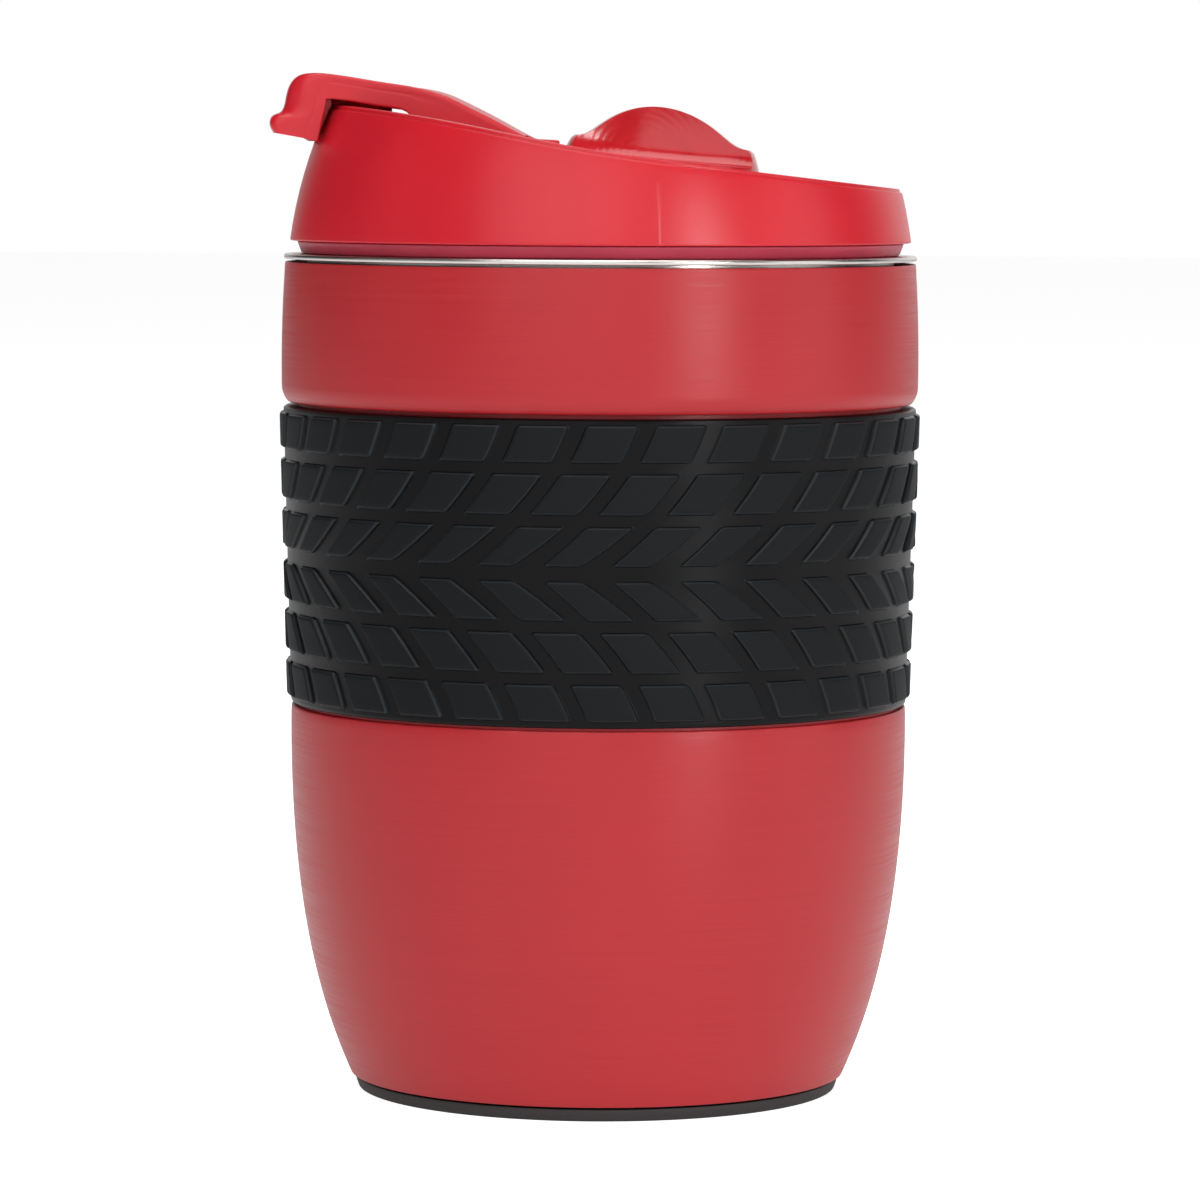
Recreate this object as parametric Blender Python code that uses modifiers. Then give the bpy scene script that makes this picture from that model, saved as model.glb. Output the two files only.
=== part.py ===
"""Double-walled travel mug with a tyre-tread grip sleeve, a press-in lid, a hinged drinking flap and a vent knob.

Metres, +Z up. The origin is the centre of the foot's flat underside. The drinking flap points towards -X.
"""

import math

import bmesh
import bpy
from mathutils import Matrix

MM = 0.001

# --- Driving dimensions ---
GAP = 0.3 * MM  # between pieces that touch
STEEL = 0.6 * MM  # wall of the outer shell
LINER_STEEL = 0.5 * MM
MOULDED_WALL = 1.6 * MM
STEPS = 40  # sides of the large turned pieces
FINE_STEPS = 24  # sides of the small ones

FOOT_HEIGHT = 1.46 * MM
FOOT_RADIUS = 28.95 * MM
FOOT_DRAFT = 0.35 * MM

WAIST_RADIUS = 36.78 * MM  # widest part of the body below the sleeve
WAIST_HEIGHT = 43.5 * MM
SHELL_BOTTOM = FOOT_HEIGHT + GAP
RECESS_RADIUS = 36.0 * MM  # the sleeve sits in this groove
RECESS_BOTTOM = 46.1 * MM
RECESS_TOP = 82.05 * MM
BAND_RADIUS = 38.0 * MM  # bulge of the bare band above the sleeve
MOUTH_EDGE_RADIUS = 37.58 * MM
SHELL_TOP = 98.8 * MM

LIP_RADIUS = 37.7 * MM
LIP_TOP = 99.75 * MM
MOUTH_RADIUS = 34.45 * MM
SHOULDER_TOP = 88.0 * MM
SHOULDER_BOTTOM = 86.0 * MM
LINER_RADIUS = 33.2 * MM
FLOOR_TOP = 7.2 * MM
FLOOR_CORNER = 4.0 * MM

SLEEVE_BOTTOM = 46.45 * MM
SLEEVE_TOP = 81.7 * MM
SLEEVE_TOP_RADIUS = 38.25 * MM  # on the tread blocks
SLEEVE_BOTTOM_RADIUS = 37.3 * MM
TREAD_DEPTH = 0.5 * MM
TREAD_ROWS = 6
TREAD_MARGIN = 0.92 * MM
TREAD_GROOVE = 1.65 * MM

LID_BOTTOM = 101.3 * MM
LID_RADIUS = 37.0 * MM
LID_CROWN = 119.0 * MM  # height at which the lid's blank is cut off before the rim is sloped
DECK_HEIGHT = 109.0 * MM  # on the knob's axis
DECK_TILT = math.radians(5)

KNOB_X = 7.0 * MM
KNOB_RADIUS = 11.6 * MM
KNOB_FLANGE_TOP = 4.2 * MM  # above the deck
KNOB_HEIGHT = 8.3 * MM
SCOOP_OFFSET = 31.0 * MM  # from the knob's axis to the axis that a finger scoop's bowl is turned about
SCOOP_REACH = 30.0 * MM  # widest radius of the bowl
SCOOP_DEPTH = 3.0 * MM  # width of the bowl's curved side
SCOOP_TOP = 8.9 * MM  # where the bowl is widest, above the deck
SCOOP_DROP = 7.0 * MM  # from there to the bowl's floor
DOME_RADIUS = 11.0 * MM
SHAFT_RADIUS = 3.0 * MM
SHAFT_BORE = SHAFT_RADIUS + 0.4 * MM
PORT_RADIUS = 1.3 * MM
PORT_OFFSET = 6.3 * MM

HINGE_X = -8.0 * MM
HINGE_HEIGHT = 111.8 * MM
PIN_RADIUS = 0.7 * MM
KNUCKLE_RADIUS = 1.7 * MM
KNUCKLE_HALF_WIDTH = 6.5 * MM
LUG_WIDTH = 2.4 * MM
FLAP_HALF_WIDTH = 10.7 * MM
SPOUT_X = -28.0 * MM
SPOUT_RADIUS = 3.5 * MM
STOPPER_RADIUS = 3.1 * MM
STOPPER_SEAT = 113.2 * MM  # where the stopper's head meets the flap's boss
STEM_RADIUS = 1.5 * MM
STEM_TOP = 116.0 * MM

PLUG_RADIUS = 32.6 * MM
PLUG_BOTTOM = 90.0 * MM
PLUG_FLANGE_RADIUS = 35.0 * MM
PLUG_TOP = 103.0 * MM


# --- Shapes of the real object, as formulas ---
def body_radius(z):
    """Outer radius of the tapered body from the foot up to its widest height."""
    u = max(0.0, (WAIST_HEIGHT - z) / (WAIST_HEIGHT - FOOT_HEIGHT))
    return WAIST_RADIUS - (5.04 * u**2 + 2.36 * u**4) * MM


def lid_radius(z):
    """Outer radius of the lid's wall, which leans in more and more towards the top."""
    h = (z - LID_BOTTOM) / MM
    return LID_RADIUS - (0.13 * h + 0.010 * h**2) * MM


def rim_height(x):
    """Height of the lid's rim: a slope away from the flap, steepest under the flap's hinge."""
    return (112.77 - 113.5 * x - 1.04 * math.tanh((x + 10.86 * MM) / (11.47 * MM))) * MM


def tread_radius(z):
    """Radius on top of the tread blocks, which follow the body's taper."""
    share = (z - SLEEVE_BOTTOM) / (SLEEVE_TOP - SLEEVE_BOTTOM)
    return SLEEVE_BOTTOM_RADIUS + share * (SLEEVE_TOP_RADIUS - SLEEVE_BOTTOM_RADIUS)


def spread(start, end, count):
    """Evenly spaced values, both ends included."""
    return [start + (end - start) * i / (count - 1) for i in range(count)]


def arc(centre, radius, start, end, count):
    """Points on a circular arc; angles in degrees, 0 towards +radius and 90 towards +Z."""
    angles = [math.radians(a) for a in spread(start, end, count)]
    return [(centre[0] + radius * math.cos(a), centre[1] + radius * math.sin(a)) for a in angles]


# --- Modelling tools ---
def clear_scene():
    for obj in list(bpy.data.objects):
        bpy.data.objects.remove(obj, do_unlink=True)


def new_collection(name):
    collection = bpy.data.collections.new(name)
    bpy.context.scene.collection.children.link(collection)
    return collection


clear_scene()
PARTS = new_collection("tread_grip_travel_mug")
CUTTERS = new_collection("cutters")


def make_material(name, colour, roughness, metallic=0.0):
    material = bpy.data.materials.new(name)
    material.use_nodes = True
    shader = material.node_tree.nodes["Principled BSDF"]
    shader.inputs["Base Color"].default_value = (*colour, 1.0)
    shader.inputs["Roughness"].default_value = roughness
    shader.inputs["Metallic"].default_value = metallic
    return material


def make_joint(name, location, tilt=0.0):
    """An empty on a joint's axis, which the moving pieces hang from."""
    joint = bpy.data.objects.new(name, None)
    joint.location = location
    joint.rotation_euler = (0.0, tilt, 0.0)
    PARTS.objects.link(joint)
    bpy.context.view_layer.update()
    return joint


def new_object(name, mesh, parent=None):
    """A modelling blank; blanks wait with the cutters until finish() moves one to the parts."""
    obj = bpy.data.objects.new(name, mesh)
    obj.parent = parent
    CUTTERS.objects.link(obj)
    obj.hide_render = True
    obj.display_type = "WIRE"
    return obj


def turned(name, profile, steps=STEPS, ring=False, parent=None):
    """Turns a (radius, height) profile about Z. A ring's profile closes on itself away from the axis."""
    mesh = bpy.data.meshes.new(name)
    verts = [(r, 0.0, z) for r, z in profile]
    edges = [(i, i + 1) for i in range(len(verts) - 1)]
    if ring:
        edges.append((len(verts) - 1, 0))
    mesh.from_pydata(verts, edges, [])
    obj = new_object(name, mesh, parent)
    screw = obj.modifiers.new("Turn", "SCREW")
    screw.axis = "Z"
    screw.steps = steps
    screw.render_steps = steps
    screw.use_merge_vertices = True
    screw.merge_threshold = 0.00001
    return obj


def cylinder(name, radius, start, end, axis="Z", at=(0.0, 0.0), steps=FINE_STEPS, parent=None):
    """A cylinder along Z through (x, y), or along Y through (x, z), between two positions on its axis."""
    mesh = bpy.data.meshes.new(name)
    bm = bmesh.new()
    bmesh.ops.create_cone(
        bm, cap_ends=True, segments=steps, radius1=radius, radius2=radius, depth=end - start
    )
    middle = (start + end) / 2
    if axis == "Z":
        placed = Matrix.Translation((at[0], at[1], middle))
    else:
        placed = Matrix.Translation((at[0], middle, at[1])) @ Matrix.Rotation(math.pi / 2, 4, "X")
    bm.transform(placed)
    bm.to_mesh(mesh)
    bm.free()
    return new_object(name, mesh, parent)


def slab(name, thickness, width, top, parent=None):
    """A flat square plate whose upper face is at the height top."""
    mesh = bpy.data.meshes.new(name)
    bm = bmesh.new()
    bmesh.ops.create_cube(bm, size=1.0)
    scaled = Matrix.Diagonal((width, width, thickness, 1.0))
    bm.transform(Matrix.Translation((0.0, 0.0, top - thickness / 2)) @ scaled)
    bm.to_mesh(mesh)
    bm.free()
    return new_object(name, mesh, parent)


def extruded(name, outline, half_width, middle=0.0):
    """A side outline in (x, z), given its thickness along Y."""
    curve = bpy.data.curves.new(name, "CURVE")
    curve.dimensions = "2D"
    curve.fill_mode = "BOTH"
    curve.extrude = half_width
    spline = curve.splines.new("POLY")
    spline.points.add(len(outline) - 1)
    for point, (x, z) in zip(spline.points, outline, strict=True):
        point.co = (x, z, 0.0, 1.0)
    spline.use_cyclic_u = True
    rough = bpy.data.objects.new(name, curve)
    CUTTERS.objects.link(rough)
    mesh = bpy.data.meshes.new_from_object(rough.evaluated_get(bpy.context.evaluated_depsgraph_get()))
    bpy.data.objects.remove(rough)
    bm = bmesh.new()
    bm.from_mesh(mesh)
    bmesh.ops.remove_doubles(bm, verts=bm.verts, dist=0.000001)
    bm.transform(Matrix.Translation((0.0, middle, 0.0)) @ Matrix.Rotation(math.pi / 2, 4, "X"))
    bmesh.ops.recalc_face_normals(bm, faces=bm.faces)
    bm.to_mesh(mesh)
    bm.free()
    return new_object(name, mesh)


def combine(obj, operation, others):
    for other in others:
        boolean = obj.modifiers.new(other.name, "BOOLEAN")
        boolean.operation = operation
        boolean.object = other
    return obj


def cut(obj, *cutters):
    return combine(obj, "DIFFERENCE", cutters)


def join(obj, *additions):
    return combine(obj, "UNION", additions)


def keep_inside(obj, *limits):
    return combine(obj, "INTERSECT", limits)


def finish(obj, material, joint=None):
    """Turns a blank with its modifiers into a finished part with smooth round faces and crisp edges."""
    bpy.context.view_layer.update()
    evaluated = obj.evaluated_get(bpy.context.evaluated_depsgraph_get())
    mesh = bpy.data.meshes.new_from_object(evaluated)
    obj.modifiers.clear()
    obj.data = mesh
    mesh.name = obj.name
    mesh.materials.clear()
    mesh.materials.append(material)
    mesh.shade_smooth()
    mesh.set_sharp_from_angle(angle=math.radians(35))
    if joint and not obj.parent:
        obj.parent = joint
        obj.matrix_parent_inverse = joint.matrix_world.inverted()
    CUTTERS.objects.unlink(obj)
    PARTS.objects.link(obj)
    obj.hide_render = False
    obj.display_type = "TEXTURED"
    return obj


# --- Materials ---
RED_PAINT = make_material("red_satin_paint", (0.42, 0.04, 0.045), 0.35)
STEEL_FINISH = make_material("brushed_steel", (0.55, 0.54, 0.53), 0.28, 1.0)
RED_PLASTIC = make_material("red_moulded_plastic", (0.45, 0.045, 0.05), 0.3)
BLACK_SILICONE = make_material("black_silicone", (0.02, 0.022, 0.025), 0.6)
MAUVE_SILICONE = make_material("mauve_silicone", (0.35, 0.12, 0.16), 0.4)
GREY_RUBBER = make_material("grey_rubber", (0.07, 0.065, 0.068), 0.7)
BLACK_PLASTIC = make_material("black_plastic", (0.03, 0.03, 0.03), 0.4)
BEAD_GLASS = make_material("sealing_glass", (0.12, 0.13, 0.14), 0.2)


# --- Cup: shell, liner, base, sleeve ---
def make_outer_shell():
    """Painted outer wall: tapered body, recess for the sleeve, and the bare band under the mouth."""
    outside = [(MOUTH_EDGE_RADIUS - STEEL, SHELL_TOP), (MOUTH_EDGE_RADIUS, SHELL_TOP)]
    outside += [(37.88 * MM, 93.0 * MM), (BAND_RADIUS, 87.5 * MM), (37.94 * MM, 84.8 * MM)]
    outside += [(37.6 * MM, 83.1 * MM), (36.9 * MM, RECESS_TOP), (RECESS_RADIUS, RECESS_TOP)]
    outside += [(RECESS_RADIUS, RECESS_BOTTOM), (36.6 * MM, RECESS_BOTTOM)]
    outside += [(body_radius(z), z) for z in spread(45.6 * MM, SHELL_BOTTOM, 12)]
    inside = [(body_radius(z) - STEEL, z) for z in spread(SHELL_BOTTOM, 44.5 * MM, 9)]
    inside += [(RECESS_RADIUS - STEEL, 45.6 * MM), (RECESS_RADIUS - STEEL, 82.6 * MM)]
    inside += [(BAND_RADIUS - STEEL, 85.2 * MM), (BAND_RADIUS - STEEL, 88.0 * MM)]
    return finish(turned("outer_shell", outside + inside, ring=True), RED_PAINT)


def make_inner_liner():
    """Bare steel vessel with a curled lip, a shoulder under the lid's plug and a rounded floor."""
    top_of_taper = WAIST_HEIGHT
    corner = FLOOR_TOP + FLOOR_CORNER
    inset = WAIST_RADIUS - LINER_RADIUS

    def vessel(wall, floor):
        """One face of the vessel from the axis up to the mouth."""
        side = [(body_radius(z) - inset + wall, z) for z in spread(corner, top_of_taper, 6)]
        bend = side[0][0] - FLOOR_CORNER
        points = [(0.0, floor), *arc((bend, corner), corner - floor, -90, -22.5, 4)]
        points += [*side, (LINER_RADIUS + wall, SHOULDER_BOTTOM), (MOUTH_RADIUS + wall, SHOULDER_TOP)]
        return points

    inside = vessel(0.0, FLOOR_TOP)
    lip_middle = (LIP_TOP + SHELL_TOP + GAP) / 2
    lip = [(MOUTH_RADIUS, LIP_TOP - 0.4 * MM), (MOUTH_RADIUS + 0.4 * MM, LIP_TOP)]
    lip += [(LIP_RADIUS - 0.25 * MM, LIP_TOP), (LIP_RADIUS, lip_middle)]
    lip += [(LIP_RADIUS - 0.25 * MM, SHELL_TOP + GAP), (MOUTH_RADIUS + LINER_STEEL, SHELL_TOP + GAP)]
    outside = reversed(vessel(LINER_STEEL, FLOOR_TOP - LINER_STEEL))
    return finish(turned("inner_liner", [*inside, *lip, *outside]), STEEL_FINISH)


def make_base_plate():
    """Steel disc that closes the shell below the vacuum, dished up round its evacuation hole."""
    top, bottom = 3.5 * MM, 2.9 * MM
    edge = body_radius(bottom) - STEEL - GAP
    hole, dish, rise = 0.6 * MM, 5.0 * MM, 1.2 * MM
    profile = [(hole, top + rise), (dish, top + rise), (dish + rise, top), (edge, top)]
    profile += [(edge, bottom), (dish + rise, bottom), (dish, bottom + rise), (hole, bottom + rise)]
    return finish(turned("base_plate", profile, ring=True), STEEL_FINISH)


def make_vacuum_seal():
    """Bead of sealing glass that plugs the evacuation hole from below."""
    radius, top, bottom = 3.2 * MM, 3.8 * MM, 2.9 * MM
    profile = [(0.0, top), (radius - 0.4 * MM, top), (radius, top - 0.3 * MM)]
    profile += [(radius, bottom + 0.3 * MM), (radius - 0.4 * MM, bottom), (0.0, bottom)]
    return finish(turned("vacuum_seal_bead", profile, FINE_STEPS), BEAD_GLASS)


def make_getter():
    """Getter capsule in the vacuum space, on the base plate beside the dish."""
    bottom = 3.5 * MM + GAP
    capsule = cylinder("getter_capsule", 3.0 * MM, bottom, bottom + 1.4 * MM, at=(13.0 * MM, 0.0))
    return finish(capsule, STEEL_FINISH)


def make_base_foot():
    """Rubber disc that the mug stands on, with a spigot inside the shell and two grip grooves below."""
    spigot, spigot_top = 27.6 * MM, 1.9 * MM
    profile = [(0.0, spigot_top), (spigot, spigot_top), (spigot, FOOT_HEIGHT)]
    profile += [(FOOT_RADIUS, FOOT_HEIGHT), (FOOT_RADIUS, 1.0 * MM)]
    profile += [(FOOT_RADIUS - FOOT_DRAFT, 0.3 * MM), (FOOT_RADIUS - FOOT_DRAFT - 0.3 * MM, 0.0)]
    for groove in (22.0 * MM, 14.0 * MM):
        depth, half = 0.5 * MM, 0.8 * MM
        profile += [(groove + half, 0.0), (groove + half, depth)]
        profile += [(groove - half, depth), (groove - half, 0.0)]
    profile.append((0.0, 0.0))
    return finish(turned("base_foot", profile), GREY_RUBBER)


def make_foot_adhesive():
    """Ring of double-sided foam tape between the foot and the base plate."""
    bottom, top = 1.9 * MM + GAP, 2.9 * MM - GAP
    inner, outer = 8.0 * MM, 26.5 * MM
    profile = [(inner, top), (outer, top), (outer, bottom), (inner, bottom)]
    return finish(turned("foot_adhesive_ring", profile, ring=True), BLACK_SILICONE)


def make_grip_sleeve():
    """Silicone band in the shell's recess, with one raised ring for each row of tread blocks."""
    bore = RECESS_RADIUS + GAP
    row = (SLEEVE_TOP - SLEEVE_BOTTOM - 2 * TREAD_MARGIN + TREAD_GROOVE) / TREAD_ROWS
    profile = [(bore, SLEEVE_TOP), (tread_radius(SLEEVE_TOP) - TREAD_DEPTH, SLEEVE_TOP)]
    for index in range(TREAD_ROWS):
        top = SLEEVE_TOP - TREAD_MARGIN - index * row
        bottom = top - row + TREAD_GROOVE
        profile.append((tread_radius(top) - TREAD_DEPTH, top))
        profile.append((tread_radius(top), top - 0.2 * MM))
        profile.append((tread_radius(bottom), bottom + 0.2 * MM))
        profile.append((tread_radius(bottom) - TREAD_DEPTH, bottom))
    profile += [(tread_radius(SLEEVE_BOTTOM) - TREAD_DEPTH, SLEEVE_BOTTOM), (bore, SLEEVE_BOTTOM)]
    return finish(turned("grip_sleeve", profile, ring=True), BLACK_SILICONE)


# --- Lid: shell, plug, seals, hinge pin ---
def lid_form(name, inset, bottom, top):
    """The lid's turned outer form, made smaller by the inset."""
    side = [(lid_radius(z) - inset, z) for z in spread(top, bottom, 8)]
    return turned(name, [(0.0, top), *side, (0.0, bottom)])


def rim_cutter(name, lift=0.0):
    """Everything above the sloped rim."""
    edge = [(x, rim_height(x) + lift) for x in spread(-45 * MM, 45 * MM, 13)]
    return extruded(name, [*edge, (45 * MM, 140 * MM), (-45 * MM, 140 * MM)], 45 * MM)


def hinge_lug(side):
    """One upright ear that carries the hinge pin, standing in the deck."""
    foot, back = 109.3 * MM, -5.0 * MM
    outline = arc((HINGE_X, HINGE_HEIGHT), KNUCKLE_RADIUS, 90, 180, 6)
    outline += [(HINGE_X - KNUCKLE_RADIUS, foot), (back, foot), (back, 113.3 * MM)]
    middle = side * (KNUCKLE_HALF_WIDTH + GAP + LUG_WIDTH / 2)
    return extruded("hinge_lug", outline, LUG_WIDTH / 2, middle)


def make_lid_shell(lid_joint, knob_joint):
    """Moulded lid with a sloped rim, a sunken sloping deck, the drinking hole and the knob's bore."""
    lid = lid_form("lid_shell", 0.0, LID_BOTTOM, LID_CROWN)
    hollow = lid_form("lid_hollow", MOULDED_WALL, LID_BOTTOM - 1 * MM, LID_CROWN + 1 * MM)
    deck = slab("deck", MOULDED_WALL, 90 * MM, 0.0, knob_joint)
    cut(lid, rim_cutter("rim_cutter"), cut(hollow, deck))
    join(lid, hinge_lug(-1), hinge_lug(1))
    spout = cylinder("spout", SPOUT_RADIUS, 105 * MM, 118 * MM, at=(SPOUT_X, 0.0))
    bore = cylinder("knob_bore", SHAFT_BORE, -4 * MM, 4 * MM, parent=knob_joint)
    port = cylinder("vent_port", PORT_RADIUS, -4 * MM, 4 * MM, at=(-PORT_OFFSET, 0.0), steps=16)
    port.parent = knob_joint
    reach = KNUCKLE_HALF_WIDTH + 2 * GAP + LUG_WIDTH
    centre = (HINGE_X, HINGE_HEIGHT)
    pin_bore = cylinder("pin_bore", PIN_RADIUS + GAP, -reach, reach, "Y", centre, 16)
    inner_reach = KNUCKLE_HALF_WIDTH + GAP / 2
    relief = cylinder("knuckle_relief", KNUCKLE_RADIUS + GAP, -inner_reach, inner_reach, "Y", centre, 24)
    return finish(cut(lid, spout, bore, port, pin_bore, relief), RED_PLASTIC, lid_joint)


def make_lid_plug(lid_joint):
    """Cup-shaped plug that closes the mouth, with a flow hole under the spout and a vent hole."""
    floor, wall = 1.5 * MM, 1.5 * MM
    bead = PLUG_RADIUS + 1.1 * MM  # keeps the gasket on
    under_flange = LID_BOTTOM
    profile = [(0.0, PLUG_BOTTOM + floor), (PLUG_RADIUS - wall, PLUG_BOTTOM + floor)]
    profile += [(PLUG_RADIUS - wall, PLUG_TOP), (PLUG_FLANGE_RADIUS, PLUG_TOP)]
    profile += [(PLUG_FLANGE_RADIUS, under_flange), (PLUG_RADIUS, under_flange)]
    profile += [(PLUG_RADIUS, PLUG_BOTTOM + 1.6 * MM), (bead, PLUG_BOTTOM + 1.2 * MM)]
    profile += [(bead, PLUG_BOTTOM + 0.6 * MM), (bead - 0.6 * MM, PLUG_BOTTOM), (0.0, PLUG_BOTTOM)]
    plug = turned("lid_plug", profile)
    holes = []
    for name, radius, x in (("flow_hole", 4.5 * MM, -22 * MM), ("air_hole", 1.5 * MM, 24 * MM)):
        holes.append(cylinder(name, radius, PLUG_BOTTOM - 5 * MM, PLUG_BOTTOM + 5 * MM, at=(x, 0.0)))
    return finish(cut(plug, *holes), BLACK_PLASTIC, lid_joint)


def make_lid_gasket(lid_joint):
    """Silicone sleeve round the plug, with two sealing ribs and the flange that shows above the mouth."""
    bore = PLUG_RADIUS + GAP
    body, rib = bore + 0.8 * MM, MOUTH_RADIUS - GAP
    top, seat, bottom = LID_BOTTOM - GAP, LIP_TOP + GAP, PLUG_BOTTOM + 1.9 * MM
    profile = [(bore, top), (36.1 * MM, top), (35.6 * MM, seat), (body, seat)]
    for height in (97.2 * MM, 94.0 * MM):
        profile += [(body, height + 0.7 * MM), (rib, height), (body, height - 0.7 * MM)]
    profile += [(body, bottom), (bore, bottom)]
    return finish(turned("lid_gasket", profile, ring=True), MAUVE_SILICONE, lid_joint)


def make_hinge_pin(lid_joint):
    reach = KNUCKLE_HALF_WIDTH + GAP + LUG_WIDTH
    pin = cylinder("hinge_pin", PIN_RADIUS, -reach, reach, "Y", (HINGE_X, HINGE_HEIGHT), 16)
    return finish(pin, STEEL_FINISH, lid_joint)


# --- Flap ---
def make_drinking_flap(flap_joint):
    """Spout cover: hollow under its top, hooked over the rim at its free end, with a hinge knuckle."""
    top = [(-41.0, 121.0), (-34.0, 121.0), (-28.6, 120.5), (-22.3, 119.6), (-17.5, 118.2)]
    top += [(-12.5, 115.8), (-9.1, 114.0), (-8.0, 113.5), (-8.0, 111.8)]
    under = [(-10.2, 111.0), (-22.0, 112.1), (-22.2, 116.2), (-23.0, 116.9), (-32.2, 117.9)]
    under += [(-33.3, 113.0), (-36.4, 113.3), (-38.5, 114.2), (-41.0, 114.7)]
    flap = extruded("drinking_flap", [(x * MM, z * MM) for x, z in top + under], FLAP_HALF_WIDTH)

    hook = [(0.0, 122.0), (35.0, 122.0), (36.2, 120.5), (36.95, 119.6), (37.4, 118.0), (37.5, 117.2)]
    hook += [(37.9, 116.5), (38.6, 116.2), (39.2, 115.5), (39.2, 114.6), (38.3, 114.0), (37.6, 112.0)]
    keep_inside(flap, turned("hook_end", [*((r * MM, z * MM) for r, z in hook), (0.0, 112.0 * MM)], 96))

    room = 0.35 * MM
    wall = [(lid_radius(z) + room, z) for z in spread(118 * MM, 111 * MM, 6)]
    passage = turned("rim_passage", [(28 * MM, 118 * MM), *wall, (28 * MM, 111 * MM)], 96, ring=True)
    cut(passage, rim_cutter("passage_top", room))

    ceiling = [(-32.0, 119.4), (-28.0, 119.1), (-22.3, 118.2), (-17.5, 116.8), (-13.2, 114.6)]
    hollow = [(x * MM, z * MM) for x, z in [*ceiling, (-12.4, 109.0), (-32.0, 109.0)]]
    cut(flap, passage, extruded("flap_hollow", hollow, FLAP_HALF_WIDTH - 1.5 * MM))

    centre = (HINGE_X, HINGE_HEIGHT)
    outer = FLAP_HALF_WIDTH + 1 * MM
    for side in (-1, 1):
        ends = sorted((side * KNUCKLE_HALF_WIDTH, side * outer))
        cut(flap, cylinder("lug_room", KNUCKLE_RADIUS + 0.5 * MM, *ends, "Y", centre, 24))
    knuckle = cylinder(
        "knuckle", KNUCKLE_RADIUS, -KNUCKLE_HALF_WIDTH, KNUCKLE_HALF_WIDTH, "Y", centre, 24
    )
    at = (SPOUT_X, 0.0)
    boss = cylinder("stopper_boss", STOPPER_RADIUS, STOPPER_SEAT + GAP, 119.8 * MM, at=at)
    join(flap, knuckle, boss)
    stem_bore = cylinder("stem_bore", STEM_RADIUS + GAP, 110 * MM, STEM_TOP + GAP, at=at, steps=16)
    cut(flap, stem_bore, cylinder("pin_hole", PIN_RADIUS + GAP, -outer, outer, "Y", centre, 16))
    return finish(flap, RED_PLASTIC, flap_joint)


def make_flap_stopper(flap_joint):
    """Silicone plug whose stem sits in the flap's boss; its head closes the drinking hole."""
    tip = 110.9 * MM
    profile = [(0.0, STEM_TOP), (STEM_RADIUS, STEM_TOP), (STEM_RADIUS, STOPPER_SEAT)]
    profile += [(STOPPER_RADIUS, STOPPER_SEAT), (STOPPER_RADIUS, 112.0 * MM)]
    profile += [(STOPPER_RADIUS - 0.4 * MM, tip), (0.0, tip)]
    stopper = turned("flap_stopper", profile, FINE_STEPS)
    stopper.location.x = SPOUT_X
    return finish(stopper, BLACK_SILICONE, flap_joint)


# --- Knob and vent, built along the knob's own axis with the deck at height 0 ---
def make_vent_knob(knob_joint):
    """Glossy knob: domed top with a wide finger scoop on each side, flange, hollow underside and shaft."""
    dome_base = 40.2  # degrees above level, where the dome meets the flange
    dome_centre = (0.0, KNOB_HEIGHT - DOME_RADIUS)
    shaft_end, bottom = -4.9 * MM, 0.4 * MM
    groove, groove_top, groove_bottom = 2.0 * MM, -0.1 * MM, -1.5 * MM
    profile = arc(dome_centre, DOME_RADIUS, 90, dome_base, 8)
    profile += [(9.1 * MM, KNOB_FLANGE_TOP), (10.9 * MM, KNOB_FLANGE_TOP - 0.1 * MM)]
    profile += [(11.2 * MM, KNOB_FLANGE_TOP - 0.5 * MM), (KNOB_RADIUS, bottom), (10.0 * MM, bottom)]
    profile += [(10.0 * MM, 0.9 * MM), (4.5 * MM, 0.9 * MM), (4.5 * MM, bottom), (SHAFT_RADIUS, bottom)]
    profile += [(SHAFT_RADIUS, groove_top), (groove, groove_top), (groove, groove_bottom)]
    profile += [(SHAFT_RADIUS, groove_bottom), (SHAFT_RADIUS, shaft_end), (1.1 * MM, shaft_end)]
    profile += [(1.1 * MM, 1.0 * MM), (0.0, 1.0 * MM)]
    knob = turned("vent_knob", profile, 32, parent=knob_joint)
    bowl = [(0.0, SCOOP_TOP - SCOOP_DROP)]
    for angle in spread(-90, 0, 9):
        along, up = math.cos(math.radians(angle)), math.sin(math.radians(angle))
        bowl.append((SCOOP_REACH - SCOOP_DEPTH * (1 - along), SCOOP_TOP + SCOOP_DROP * up))
    bowl += [(SCOOP_REACH, SCOOP_TOP + 3 * MM), (0.0, SCOOP_TOP + 3 * MM)]
    for side in (-1, 1):
        scoop = turned("finger_scoop", bowl, 90, parent=knob_joint)
        scoop.location.y = side * SCOOP_OFFSET
        cut(knob, scoop)
    return finish(knob, RED_PLASTIC)


def flat_ring(name, bore, radius, top, bottom, port, joint):
    """A washer-like disc; port is the (x, y) of its air port, or None."""
    profile = [(bore, top), (radius, top), (radius, bottom), (bore, bottom)]
    ring = turned(name, profile, FINE_STEPS, True, joint)
    if port:
        cut(ring, cylinder("air_port", PORT_RADIUS, bottom - MM, top + MM, at=port, steps=16, parent=joint))
    return ring


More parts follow.
